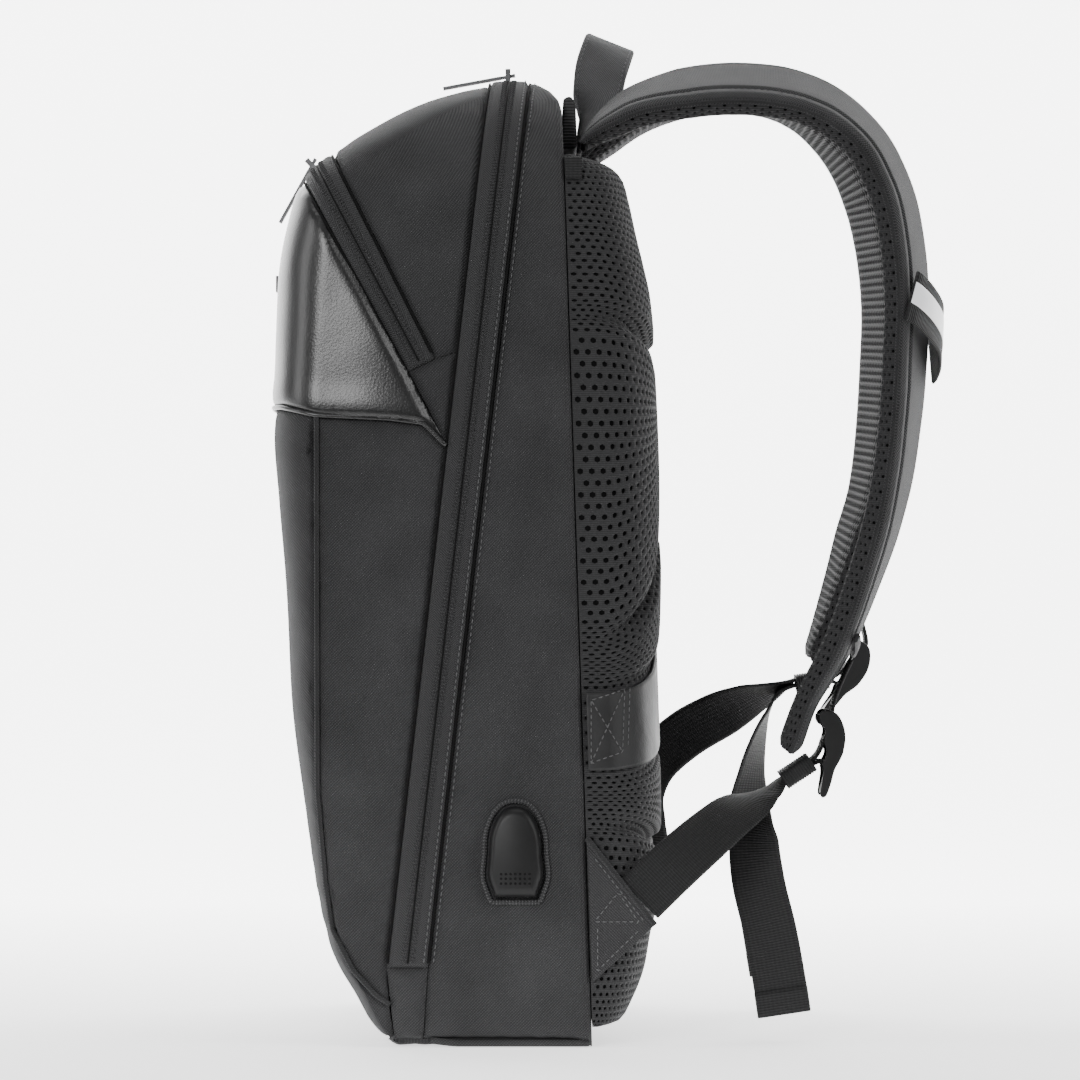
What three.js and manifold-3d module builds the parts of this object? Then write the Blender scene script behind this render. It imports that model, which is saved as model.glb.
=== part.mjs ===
// Laptop backpack with padded shoulder straps, standing on its base.
// x runs across the wearer's shoulders (near side +), y from the front face to the straps, z up.
// The origin is the middle of the base's underside. Lengths are millimetres.
import * as THREE from 'three'
import { mergeVertices } from 'three/addons/utils/BufferGeometryUtils.js'
import Module from 'manifold-3d'

const wasm = await Module()
wasm.setup()

// Driving sizes of the body
const HEIGHT = 452.5
const DEPTH = 150
const HALF_WIDTH = 145
const TOP_RADIUS = 78
const FOOT_RADIUS = 8
const CORNER_REACH = 34
const REAR_EDGE = 3
const WALL = 2.2
const BOARD = 2.6
const GAP = 0.3
const TAPE_PROUD = 0.8
const LEATHER_PROUD = 1.4
const LEATHER_DEPTH = 3.4
const BEYOND = 200

// Driving sizes of the webbing, straps and back pads
const WEB_WIDTH = 25
const WEB_THICK = 1.6
const STRAP_HALF = 35
const STRAP_THICK = 13.5
const PAD_HEIGHT = 40
const PAD_RIDGE_X = 80
const PAD_INNER_X = 9
const PAD_WALL = 4
const BAND_THICK = 1.8

// Side view of the body, as shares: `up` of HEIGHT, `out` of DEPTH from the origin
const FRONT_PROFILE = [
  { up: 0, out: -0.325 }, { up: 0.013, out: -0.367 }, { up: 0.053, out: -0.44 },
  { up: 0.08, out: -0.49 }, { up: 0.108, out: -0.523 }, { up: 0.157, out: -0.557 },
  { up: 0.225, out: -0.587 }, { up: 0.349, out: -0.637 }, { up: 0.49, out: -0.661 },
  { up: 0.561, out: -0.68 }, { up: 0.63, out: -0.695 }, { up: 0.692, out: -0.694 },
  { up: 0.787, out: -0.686 }, { up: 0.864, out: -0.645 }, { up: 0.886, out: -0.62 },
  { up: 0.916, out: -0.537 }, { up: 0.949, out: -0.392 }, { up: 0.978, out: -0.233 },
  { up: 0.995, out: -0.086 }, { up: 1, out: -0.033 },
]
const REAR_PROFILE = [
  { up: 1, out: 0.09 }, { up: 0.996, out: 0.137 }, { up: 0.987, out: 0.177 },
  { up: 0.976, out: 0.203 }, { up: 0.9635, out: 0.2137 }, { up: 0, out: 0.3067 },
]
// How far the vertical front corners round back, at shares of the height
const CORNER_ROUND = [
  { up: 0, depth: 6 }, { up: 0.08, depth: 8 }, { up: 0.17, depth: 9 }, { up: 0.26, depth: 12 },
  { up: 0.35, depth: 16 }, { up: 0.65, depth: 23 }, { up: 0.9, depth: 26 }, { up: 1, depth: 26 },
]
const LEVELS = [
  0, 0.006, 0.013, 0.03, 0.053, 0.08, 0.108, 0.157, 0.225, 0.285, 0.349, 0.42, 0.49, 0.561, 0.63,
  0.692, 0.74, 0.787, 0.83, 0.864, 0.886, 0.901, 0.916, 0.933, 0.949, 0.964, 0.978, 0.988, 0.995, 1,
]

const material = (color, roughness, metalness = 0) =>
  new THREE.MeshStandardMaterial({ color, roughness, metalness })
const TWILL = material('#3f3f41', 0.85)
const TAPE = material('#38383a', 0.8)
const LEATHER = material('#1b1b1c', 0.32)
const PAD = material('#2b2b2d', 0.9)
const WEBBING = material('#3a3a3c', 0.75)
const STRIPE = material('#c4c5c7', 0.4)
const PLASTIC = material('#303032', 0.45)
const METAL = material('#5a5a5c', 0.35, 0.9)

// Straight-line value of a table's column at a given position in another column
function lookup(table, key, value, at) {
  const last = table.length - 1
  if (at <= table[0][key]) return table[0][value]
  if (at >= table[last][key]) return table[last][value]
  const next = table.findIndex((row) => row[key] >= at)
  const low = table[next - 1]
  const high = table[next]
  const share = (at - low[key]) / (high[key] - low[key])
  return low[value] + share * (high[value] - low[value])
}

// A flat outline [y, z] moved inwards by a distance, each corner kept sharp
function shrink(outline, distance) {
  const area = THREE.ShapeUtils.area(outline.map(([y, z]) => new THREE.Vector2(y, z)))
  const turn = Math.sign(area) * distance
  return outline.map((here, i) => {
    const before = outline[(i + outline.length - 1) % outline.length]
    const after = outline[(i + 1) % outline.length]
    const a = new THREE.Vector2(here[0] - before[0], here[1] - before[1]).normalize()
    const b = new THREE.Vector2(after[0] - here[0], after[1] - here[1]).normalize()
    const bend = 1 + a.dot(b)
    return [here[0] - turn * (a.y + b.y) / bend, here[1] + turn * (a.x + b.x) / bend]
  })
}

// Closed surface through rings of points, with a flat fan over each end
function loft(rings) {
  const size = rings[0].length
  const points = rings.flat()
  const faces = []
  for (let k = 0; k + 1 < rings.length; k++) {
    for (let i = 0; i < size; i++) {
      const a = k * size + i
      const b = k * size + (i + 1) % size
      faces.push([a, b, b + size], [a, b + size, a + size])
    }
  }
  for (const [start, ends] of [[0, 1], [points.length - size, 0]]) {
    const middle = points.length
    const ring = points.slice(start, start + size)
    const centre = [0, 1, 2].map((axis) => ring.reduce((sum, p) => sum + p[axis], 0) / size)
    points.push(centre)
    for (let i = 0; i < size; i++) {
      const pair = [start + i, start + (i + 1) % size]
      faces.push(ends ? [middle, pair[1], pair[0]] : [middle, pair[0], pair[1]])
    }
  }
  const corner = (i) => new THREE.Vector3(...points[i])
  const volume = faces.reduce(
    (sum, [a, b, c]) => sum + corner(a).dot(corner(b).cross(corner(c))), 0)
  const geometry = new THREE.BufferGeometry()
  geometry.setAttribute('position', new THREE.Float32BufferAttribute(points.flat(), 3))
  geometry.setIndex(faces.map((face) => (volume < 0 ? [...face].reverse() : face)).flat())
  return geometry
}

function toSolid(geometry) {
  const plain = geometry.clone()
  plain.deleteAttribute('normal')
  plain.deleteAttribute('uv')
  const welded = mergeVertices(plain, 1e-4)
  return new wasm.Manifold(new wasm.Mesh({
    numProp: 3,
    vertProperties: new Float32Array(welded.attributes.position.array),
    triVerts: new Uint32Array(welded.index.array),
  }))
}

function toGeometry(solid) {
  const { vertProperties, triVerts } = solid.getMesh()
  const geometry = new THREE.BufferGeometry()
  geometry.setAttribute('position', new THREE.BufferAttribute(vertProperties, 3))
  geometry.setIndex(new THREE.BufferAttribute(triVerts, 1))
  return geometry
}

const subtract = (a, b) => toGeometry(toSolid(a).subtract(toSolid(b)))
const intersect = (a, b) => toGeometry(toSolid(a).intersect(toSolid(b)))
const join = (...parts) => toGeometry(parts.map(toSolid).reduce((a, b) => a.add(b)))

// The same piece on the other side of the bag
function mirrored(geometry) {
  const copy = mergeVertices(toGeometry(toSolid(geometry)).scale(-1, 1, 1))
  const index = [...copy.index.array]
  for (let i = 0; i < index.length; i += 3) {
    [index[i], index[i + 1]] = [index[i + 1], index[i]]
  }
  copy.setIndex(index)
  return copy
}

// An outline drawn in the side view, as thick as the given range of x
function sideSlab(outline, fromX = -BEYOND, toX = BEYOND) {
  const shape = new THREE.Shape(outline.map(([y, z]) => new THREE.Vector2(y, z)))
  const slab = new THREE.ExtrudeGeometry(shape, { depth: toX - fromX, bevelEnabled: false })
  const basis = new THREE.Matrix4().makeBasis(
    new THREE.Vector3(0, 1, 0), new THREE.Vector3(0, 0, 1), new THREE.Vector3(1, 0, 0))
  return slab.applyMatrix4(basis).translate(fromX, 0, 0)
}

const box = (x, y, z, [cx, cy, cz] = [0, 0, 0]) =>
  new THREE.BoxGeometry(x, y, z).translate(cx, cy, cz)

const bag = new THREE.Group()

function piece(name, geometry, look) {
  const mesh = new THREE.Mesh(geometry, look)
  mesh.name = name
  bag.add(mesh)
}

function pair(name, geometry, look) {
  piece(`${name}_near`, geometry, look)
  piece(`${name}_far`, mirrored(geometry), look)
}

// Body: horizontal sections of a soft box whose top corners round over

const SIDE_OUTLINE = [...FRONT_PROFILE, ...REAR_PROFILE].map(
  ({ up, out }) => [out * DEPTH, up * HEIGHT])

function halfWidth(z, inset = 0) {
  const topCentre = HEIGHT - TOP_RADIUS
  const round = (radius, away) => Math.sqrt(Math.max(0, (radius - inset) ** 2 - away ** 2))
  if (z > topCentre) return HALF_WIDTH - TOP_RADIUS + round(TOP_RADIUS, z - topCentre)
  if (z < FOOT_RADIUS) return HALF_WIDTH - FOOT_RADIUS + round(FOOT_RADIUS, FOOT_RADIUS - z)
  return HALF_WIDTH - inset
}

const rearAt = (z) => lookup([...REAR_PROFILE].reverse(), 'up', 'out', z / HEIGHT) * DEPTH
const frontAt = (z) => lookup(FRONT_PROFILE, 'up', 'out', z / HEIGHT) * DEPTH

// One half of a section, from the rear corner round to the middle of the front
function halfSection(z, inset, front, rear) {
  const wide = halfWidth(z, inset)
  const reach = Math.min(CORNER_REACH, wide / 2) - inset
  const depth = Math.min(lookup(CORNER_ROUND, 'up', 'depth', z / HEIGHT), (rear - front) / 2)
  const points = [[wide - REAR_EDGE, rear], [wide, rear - Math.min(REAR_EDGE, (rear - front) / 4)]]
  for (const turn of [0, 25, 50, 72, 90]) {
    const angle = THREE.MathUtils.degToRad(turn)
    points.push([
      wide - reach + reach * Math.cos(angle),
      front + depth - 0.92 * depth * Math.sin(angle),
    ])
  }
  return points
}

function body(inset) {
  const outline = shrink(SIDE_OUTLINE, inset)
  const toTable = (rows) => rows.map(([y, z]) => ({ z, y }))
  const front = toTable(outline.slice(0, FRONT_PROFILE.length))
  const rear = toTable(outline.slice(FRONT_PROFILE.length)).reverse()
  return loft(LEVELS.map((share) => {
    const z = inset + share * (HEIGHT - 2 * inset)
    const frontY = lookup(front, 'z', 'y', z)
    const half = halfSection(z, inset, frontY, lookup(rear, 'z', 'y', z))
    const other = half.map(([x, y]) => [-x, y]).reverse()
    return [...half, [0, frontY], ...other].map(([x, y]) => [x, y, z])
  }))
}

const hollow = body(WALL)
const fabric = subtract(body(0), hollow)
const tapeLayer = subtract(body(-TAPE_PROUD), hollow)
const leatherLayer = subtract(body(-LEATHER_PROUD), body(LEATHER_DEPTH))

// Seam lines of the side view, [y, z], from shares of DEPTH and HEIGHT
const seamPoint = (out, up) => [out * DEPTH, up * HEIGHT]
const TOP = HEIGHT + 20
const FRONT = -DEPTH
const ZIP_HALF = 9.5
const ZIP_LINE = { foot: -0.2927, top: 0.0503 }
const zipAt = (z, side) => [
  DEPTH * THREE.MathUtils.lerp(ZIP_LINE.foot, ZIP_LINE.top, z / HEIGHT) + side * ZIP_HALF, z]
const zipFoot = { front: [-0.303 * DEPTH, BOARD], rear: [-0.216 * DEPTH, BOARD] }
const ZIP_END_Z = 37
const BOARD_TOP = 0.95 * HEIGHT
const boardAt = (z) => [
  THREE.MathUtils.lerp(rearAt(0), rearAt(BOARD_TOP), z / BOARD_TOP) - BOARD, z]
const WEDGE_TOP_Z = 0.7116 * HEIGHT
const LEATHER_TIP_Z = 0.6166 * HEIGHT
const pocketFront = { low: seamPoint(-0.2627, 0.6917), high: seamPoint(-0.69, 0.9503) }
const pocketRear = { low: seamPoint(-0.1793, 0.7054), high: seamPoint(-0.5867, 0.9724) }
const leatherEdge = [
  seamPoint(-0.2133, 0.6396), seamPoint(-0.32, 0.6442), seamPoint(-0.5493, 0.6477)]
const leatherLip = [seamPoint(-0.6533, 0.6564), seamPoint(-1, 0.6564)]
const SIDE_SEAM_Z = 0.0442 * HEIGHT
const sideSeamFoot = [
  THREE.MathUtils.mapLinear(
    SIDE_SEAM_Z, BOARD, ZIP_END_Z, zipFoot.front[0], zipAt(ZIP_END_Z, -1)[0]), SIDE_SEAM_Z]
const sideSeam = [
  seamPoint(-0.5467, 0.263), seamPoint(-0.5213, 0.168), seamPoint(-0.5, 0.1207),
  seamPoint(-0.4353, 0.0789), seamPoint(-0.364, 0.0533)]

function panel(layer, outline, fromX, toX) {
  return intersect(layer, sideSlab(shrink(outline, GAP / 2), fromX, toX))
}

piece('base_panel', panel(fabric, [
  [-DEPTH, -BOARD], [DEPTH, -BOARD], [DEPTH, BOARD], [-DEPTH, BOARD]]), TWILL)
piece('back_panel', panel(fabric, [
  boardAt(BOARD), [DEPTH, BOARD], [DEPTH, TOP], boardAt(TOP)]), TWILL)
piece('gusset', panel(fabric, [
  zipFoot.rear, boardAt(BOARD), boardAt(TOP), zipAt(TOP, 1), zipAt(ZIP_END_Z, 1)]), TWILL)
piece('main_zip_tape', panel(tapeLayer, [
  zipAt(ZIP_END_Z, -1), zipAt(ZIP_END_Z, 1), zipAt(TOP, 1), zipAt(TOP, -1)]), TAPE)
pair('zip_end', panel(tapeLayer, [
  zipFoot.front, zipFoot.rear, zipAt(ZIP_END_Z, 1), zipAt(ZIP_END_Z, -1)], HALF_WIDTH / 2), TWILL)
piece('lid_panel', panel(fabric, [
  pocketRear.low, zipAt(WEDGE_TOP_Z, -1), zipAt(TOP, -1), [FRONT, TOP], pocketRear.high]), TWILL)
piece('pocket_zip_tape', panel(tapeLayer, [
  pocketFront.low, pocketRear.low, pocketRear.high, pocketFront.high]), TAPE)
pair('wedge', panel(fabric, [
  zipAt(LEATHER_TIP_Z, -1), zipAt(WEDGE_TOP_Z, -1), pocketRear.low, pocketFront.low], 0), TWILL)
piece('leather_panel', panel(leatherLayer, [
  zipAt(LEATHER_TIP_Z, -1), pocketFront.low, pocketFront.high, [FRONT, pocketFront.high[1]],
  ...[...leatherLip].reverse(), ...[...leatherEdge].reverse()]), LEATHER)
pair('front_side', panel(fabric, [
  sideSeamFoot, zipAt(ZIP_END_Z, -1), zipAt(LEATHER_TIP_Z, -1), ...leatherEdge, ...sideSeam], 0),
TWILL)
piece('front_panel', panel(fabric, [
  zipFoot.front, sideSeamFoot, ...[...sideSeam].reverse(), leatherEdge[2], ...leatherLip,
  [FRONT, BOARD]]), TWILL)

// Small plain plate on the leather
const PLATE = { width: 40, height: 7.8, thick: 1.2, z: 0.7934 * HEIGHT }
piece('front_plate', box(PLATE.width, PLATE.thick, PLATE.height, [
  0, frontAt(PLATE.z) - LEATHER_PROUD - GAP - PLATE.thick, PLATE.z]), METAL)

// Back pads: two columns of lobes, open at the back, with slanting grooves between the lobes.
// Rows run from the foot up: height at the side and at the ridge, in parts of which PAD_PARTS
// make up the pad's length, and the share of PAD_HEIGHT.
const PAD_LENGTH = 0.9215 * HEIGHT
const PAD_PARTS = 417
const padRows = (rows) => rows.map(({ side, ridge, rise }) => ({
  side: side / PAD_PARTS * PAD_LENGTH, ridge: ridge / PAD_PARTS * PAD_LENGTH, rise }))
const PAD_ROWS = padRows([
  { side: 9, ridge: 7, rise: 0.06 }, { side: 11, ridge: 10, rise: 0.34 },
  { side: 20, ridge: 20.7, rise: 0.51 }, { side: 34, ridge: 34, rise: 0.65 },
  { side: 50, ridge: 49, rise: 0.73 }, { side: 70, ridge: 65, rise: 0.83 },
  { side: 97, ridge: 84, rise: 0.87 }, { side: 104, ridge: 91.6, rise: 0.68 },
  { side: 111, ridge: 99, rise: 0.9 }, { side: 120, ridge: 131, rise: 0.915 },
  { side: 125, ridge: 139, rise: 0.855 }, { side: 167, ridge: 187, rise: 0.855 },
  { side: 171, ridge: 194, rise: 0.95 }, { side: 181, ridge: 232, rise: 1 },
  { side: 187.7, ridge: 242, rise: 0.78 }, { side: 196, ridge: 252, rise: 0.99 },
  { side: 245, ridge: 278, rise: 1.015 }, { side: 333, ridge: 311, rise: 1 },
  { side: 341, ridge: 320, rise: 0.78 }, { side: 349, ridge: 329, rise: 1 },
  { side: 362, ridge: 346, rise: 0.975 }, { side: 374, ridge: 361, rise: 0.91 },
  { side: 386, ridge: 377, rise: 0.83 }, { side: 398, ridge: 393, rise: 0.76 },
  { side: 406, ridge: 404.7, rise: 0.69 }, { side: 410, ridge: 411, rise: 0.55 },
  { side: 413, ridge: 415, rise: 0.3 }, { side: 415, ridge: 417, rise: 0.05 },
])
// Across a pad from the side to the middle of the back: shares of its width and of its rise
const PAD_COLUMNS = [
  { across: 0, rise: 0 }, { across: 0.003, rise: 0.3 }, { across: 0.035, rise: 0.56 },
  { across: 0.115, rise: 0.8 }, { across: 0.25, rise: 0.95 }, { across: 0.44, rise: 1 },
  { across: 0.63, rise: 0.955 }, { across: 0.81, rise: 0.8 }, { across: 0.93, rise: 0.5 },
  { across: 1, rise: 0.18 }, { across: 1, rise: 0 },
]
const SIDE_INSET = 1.6
const MIDDLE_SLANT = 0.25

// Height of a slanting line at x, given its heights at the side and at the ridge
function slantAt({ side, ridge }, x) {
  const slope = (side - ridge) / (HALF_WIDTH - PAD_RIDGE_X)
  return ridge + (x - PAD_RIDGE_X) * slope * (x > PAD_RIDGE_X ? 1 : MIDDLE_SLANT)
}

const padSide = (row) => halfWidth(row.side) - SIDE_INSET

function padRing(row) {
  return PAD_COLUMNS.map(({ across, rise }) => {
    const x = THREE.MathUtils.lerp(padSide(row), PAD_INNER_X, across)
    const z = slantAt(row, x)
    return [x, rearAt(z) + GAP + rise * row.rise * PAD_HEIGHT, z]
  })
}

function padHollowRing(row) {
  const count = PAD_COLUMNS.length - 1
  return PAD_COLUMNS.map(({ across, rise }, i) => {
    const x = THREE.MathUtils.lerp(padSide(row) - PAD_WALL, PAD_INNER_X + PAD_WALL, across)
    const z = slantAt(row, x)
    const deep = i === 0 || i === count ? -1 : rise * row.rise * PAD_HEIGHT - PAD_WALL
    return [x, rearAt(z) + GAP + (i === 0 || i === count ? -1 : Math.max(deep, 0.3)), z]
  }).filter((_, i) => i !== 1 && i !== 4 && i !== 6)
}

const backPad = subtract(
  loft(PAD_ROWS.map(padRing)), loft(PAD_ROWS.slice(2, -3).map(padHollowRing)))
pair('back_pad', backPad, PAD)

// Band over both pads that slips over the handle of a suitcase
const BAND_EDGES = padRows([{ side: 128, ridge: 142 }, { side: 164, ridge: 184 }])
const [BAND_MIDDLE] = padRows([{ side: 146, ridge: 163, rise: 0.855 }])

function bandStations() {
  const row = BAND_MIDDLE
  const outline = padRing(row).slice(0, 6).map(([x, y]) => new THREE.Vector2(x, y))
  outline[0].y += 0.5
  const ridge = outline[5]
  outline.push(new THREE.Vector2(ridge.x / 2, ridge.y))
  return outline.map((here, i) => {
    const before = outline[Math.max(0, i - 1)]
    const after = outline[Math.min(outline.length - 1, i + 1)]
    const along = after.clone().sub(before).normalize()
    return { x: here.x, y: here.y, normal: new THREE.Vector2(along.y, -along.x).negate() }
  })
}

function bandRing({ x, y, normal }) {
  const facing = Math.sign(normal.y) || 1
  const corner = (edge, lift) => {
    const z = slantAt(edge, Math.abs(x))
    const rear = rearAt(z) - rearAt(slantAt(BAND_MIDDLE, Math.abs(x)))
    return [x + facing * normal.x * lift, y + rear + facing * normal.y * lift, z]
  }
  const inner = GAP + 0.3
  const outer = inner + BAND_THICK
  const [low, high] = BAND_EDGES
  return [corner(low, inner), corner(low, outer), corner(high, outer), corner(high, inner)]
}

const nearHalf = bandStations().map(bandRing)
const farHalf = nearHalf.map((ring) => ring.map(([x, y, z]) => [-x, y, z])).reverse()
piece('luggage_band', loft([...nearHalf, ...farHalf]), LEATHER)

// Padded strip at the top of the back, where the handle and the straps are sewn on
const YOKE_HALF = 99
piece('top_yoke', sideSlab([
  seamPoint(0.218, 0.9794), seamPoint(0.2427, 0.9821), seamPoint(0.2573, 0.9735),
  seamPoint(0.262, 0.9304), seamPoint(0.2587, 0.9264), seamPoint(0.2227, 0.9264),
], -YOKE_HALF, YOKE_HALF), TWILL)

// Small stitched tab on the upper corner of the back
const TAB = { height: 11.5, depth: 8, thick: 1.5, z: 0.9017 * HEIGHT }
const tabAngle = Math.asin((TAB.z - HEIGHT + TOP_RADIUS) / TOP_RADIUS)
const cornerTab = new THREE.BoxGeometry(TAB.thick, TAB.depth, TAB.height)
  .translate(TOP_RADIUS - 0.2, 0, 0)
  .rotateY(-tabAngle)
  .translate(HALF_WIDTH - TOP_RADIUS, rearAt(TAB.z) + 0.5 + TAB.depth / 2, HEIGHT - TOP_RADIUS)
pair('corner_tab', cornerTab, WEBBING)

// Stations along a smooth line through a table of points. Each row may hold further columns;
// `hint` is the direction of the piece's width there.
function stationsAlong(rows, perSpan) {
  const curve = new THREE.CatmullRomCurve3(rows.map(({ at }) => new THREE.Vector3(...at)))
  const spans = rows.length - 1
  return Array.from({ length: spans * perSpan + 1 }, (_, k) => {
    const along = k / (spans * perSpan)
    const span = Math.min(spans - 1, Math.floor(k / perSpan))
    const share = k / perSpan - span
    const mix = (key) => THREE.MathUtils.lerp(rows[span][key], rows[span + 1][key], share)
    const hint = new THREE.Vector3(...rows[span].hint)
      .lerp(new THREE.Vector3(...rows[span + 1].hint), share)
    const tangent = curve.getTangent(along)
    const across = hint.addScaledVector(tangent, -hint.dot(tangent)).normalize()
    return { origin: curve.getPoint(along), tangent, across, out: across.clone().cross(tangent), mix }
  })
}

// Ring of a section [across, out] placed at a station
const ringAt = ({ origin, across, out }, section) => section.map(([a, o]) =>
  origin.clone().addScaledVector(across, a).addScaledVector(out, o).toArray())

const flatSection = (width, thick) => [
  [-width / 2, -thick / 2], [width / 2, -thick / 2], [width / 2, thick / 2],
  [-width / 2, thick / 2]]

const webSection = flatSection(WEB_WIDTH, WEB_THICK)
const webbing = (rows, perSpan = 3) =>
  loft(stationsAlong(rows, perSpan).map((station) => ringAt(station, webSection)))

// Shoulder strap: `out` is a share of DEPTH, `up` of HEIGHT, `wide` and `thick` of the full
// section. `tilt` turns the near strap's outer edge down or back, in degrees. The far strap runs
// `rise` higher, as a share of HEIGHT, and tilts by its own `farTilt`.
const STRAP_ROWS = [
  { out: 0.276, up: 0.93, x: 82, wide: 0.8, thick: 0.3, tilt: 0, rise: 0, farTilt: 0 },
  { out: 0.3, up: 0.938, x: 82, wide: 0.83, thick: 0.6, tilt: 3, rise: 0.001, farTilt: 0 },
  { out: 0.373, up: 0.956, x: 82, wide: 0.9, thick: 0.9, tilt: 8, rise: 0.004, farTilt: 0 },
  { out: 0.46, up: 0.973, x: 82, wide: 0.95, thick: 1, tilt: 12, rise: 0.009, farTilt: 0 },
  { out: 0.6, up: 0.986, x: 82, wide: 1, thick: 1, tilt: 16, rise: 0.014, farTilt: -1 },
  { out: 0.76, up: 0.991, x: 82, wide: 1, thick: 1, tilt: 17, rise: 0.016, farTilt: -2 },
  { out: 0.907, up: 0.987, x: 82, wide: 1, thick: 1, tilt: 17, rise: 0.016, farTilt: -1 },
  { out: 1.013, up: 0.976, x: 82, wide: 1, thick: 1, tilt: 16, rise: 0.014, farTilt: 2 },
  { out: 1.1, up: 0.958, x: 82, wide: 1, thick: 1, tilt: 14.5, rise: 0.01, farTilt: 5 },
  { out: 1.175, up: 0.933, x: 82, wide: 1, thick: 1, tilt: 13.5, rise: 0.006, farTilt: 8 },
  { out: 1.232, up: 0.899, x: 82, wide: 1, thick: 1, tilt: 13, rise: 0.002, farTilt: 10 },
  { out: 1.27, up: 0.86, x: 83, wide: 1, thick: 1, tilt: 12.5, rise: 0, farTilt: 11 },
  { out: 1.298, up: 0.79, x: 84, wide: 1, thick: 1, tilt: 12.5, rise: 0, farTilt: 11 },
  { out: 1.295, up: 0.718, x: 85, wide: 1, thick: 1, tilt: 12.5, rise: 0, farTilt: 11 },
  { out: 1.252, up: 0.581, x: 87, wide: 0.97, thick: 1, tilt: 10.5, rise: 0, farTilt: 9 },
]
// The two straps end differently, because their locks hang at different heights
const NEAR_TIP = [
  { out: 1.163, up: 0.48, x: 89, wide: 0.9, thick: 1, tilt: 7 },
  { out: 1.077, up: 0.409, x: 91, wide: 0.8, thick: 0.95, tilt: 5 },
  { out: 0.98, up: 0.351, x: 92, wide: 0.72, thick: 0.82, tilt: 3 },
  { out: 0.935, up: 0.312, x: 92, wide: 0.66, thick: 0.75, tilt: 1 },
  { out: 0.92, up: 0.3, x: 92, wide: 0.5, thick: 0.4, tilt: 0 },
]
const FAR_TIP = [
  { out: 1.195, up: 0.522, x: 88, wide: 0.93, thick: 1, tilt: 7 },
  { out: 1.15, up: 0.47, x: 90, wide: 0.88, thick: 1, tilt: 5 },
  { out: 1.105, up: 0.425, x: 91, wide: 0.8, thick: 0.95, tilt: 3 },
  { out: 1.07, up: 0.397, x: 92, wide: 0.72, thick: 0.82, tilt: 1 },
  { out: 1.057, up: 0.387, x: 92, wide: 0.55, thick: 0.5, tilt: 0 },
]
const NEAR_STRAP = [...STRAP_ROWS, ...NEAR_TIP]
const FAR_STRAP = [
  ...STRAP_ROWS.map((row) => ({ ...row, up: row.up + row.rise, tilt: row.farTilt })), ...FAR_TIP]
// Section of the padded cover and of the airy lining under it: shares of half width and thickness
const COVER_CROWN = [{ across: 0.35, out: 0.5 }, { across: 0.88, out: 0.47 }, { across: 1.01, out: 0.3 }]
const COVER_HALF = [[1, 0.18], ...[...COVER_CROWN].reverse().map(({ across, out }) => [across, out])]
const COVER_SECTION = [
  [-1, 0.18], ...COVER_HALF, ...COVER_HALF.slice(1).reverse().map(([across, out]) => [-across, out])]
const LINING_SECTION = [
  [-0.97, 0.15], [0.97, 0.15], [0.98, -0.08], [0.88, -0.4], [0.6, -0.5], [-0.6, -0.5],
  [-0.88, -0.4], [-0.98, -0.08]]

function strapStations(perSpan, table) {
  const rows = table.map((row, i) => {
    const before = table[Math.max(0, i - 1)]
    const after = table[Math.min(table.length - 1, i + 1)]
    const run = new THREE.Vector2((after.out - before.out) * DEPTH, (after.up - before.up) * HEIGHT)
    run.normalize()
    const tilt = THREE.MathUtils.degToRad(row.tilt)
    const at = [row.x, row.out * DEPTH, row.up * HEIGHT]
    return { ...row, at, hint: [Math.cos(tilt), run.y * Math.sin(tilt), -run.x * Math.sin(tilt)] }
  })
  return stationsAlong(rows, perSpan)
}

const strapPart = (section, table) => loft(strapStations(1, table).map((station) => ringAt(station,
  section.map(([a, o]) => [
    a * STRAP_HALF * station.mix('wide'), o * STRAP_THICK * station.mix('thick')]))))

piece('shoulder_cover_near', strapPart(COVER_SECTION, NEAR_STRAP), TWILL)
piece('shoulder_cover_far', mirrored(strapPart(COVER_SECTION, FAR_STRAP)), TWILL)
piece('shoulder_lining_near', strapPart(LINING_SECTION, NEAR_STRAP), PAD)
piece('shoulder_lining_far', mirrored(strapPart(LINING_SECTION, FAR_STRAP)), PAD)

// A band across the outer face of the strap: half length, slant along the strap, bulge and width
function strapBand(table, { z, half, slant, bulge, width }) {
  const fine = strapStations(8, table).filter(({ origin }) => origin.y > DEPTH)
  const station = fine.reduce((best, next) =>
    Math.abs(next.origin.z - z) < Math.abs(best.origin.z - z) ? next : best)
  const { origin, tangent, across, out } = station
  const rows = [-1, -0.86, -0.5, 0, 0.5, 0.86, 1].map((share) => {
    const cover = lookup(COVER_CROWN, 'across', 'out', Math.abs(share) * half / STRAP_HALF)
    const seat = STRAP_THICK * station.mix('thick') * cover + GAP + WEB_THICK / 2
    const lift = seat + bulge * Math.cos(share * Math.PI / 2)
    const at = origin.clone().addScaledVector(across, share * half)
      .addScaledVector(out, lift).addScaledVector(tangent, -share * slant)
    return { at: at.toArray(), hint: tangent.toArray() }
  })
  return loft(stationsAlong(rows, 2).map((place) => ringAt(place, flatSection(width, WEB_THICK))))
}

const LOOP = { z: 0.7425 * HEIGHT, half: 33, slant: 13, bulge: 7.6, width: WEB_WIDTH }
piece('strap_loop_near', strapBand(NEAR_STRAP, LOOP), STRIPE)
piece('strap_loop_far', mirrored(strapBand(FAR_STRAP, LOOP)), STRIPE)
const TACK = { half: 27, slant: 2, bulge: 0.6, width: 5 }
piece('strap_tack_near', strapBand(NEAR_STRAP, { ...TACK, z: 0.4166 * HEIGHT }), WEBBING)
piece('strap_tack_far', mirrored(strapBand(FAR_STRAP, { ...TACK, z: 0.4707 * HEIGHT })), WEBBING)

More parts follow.
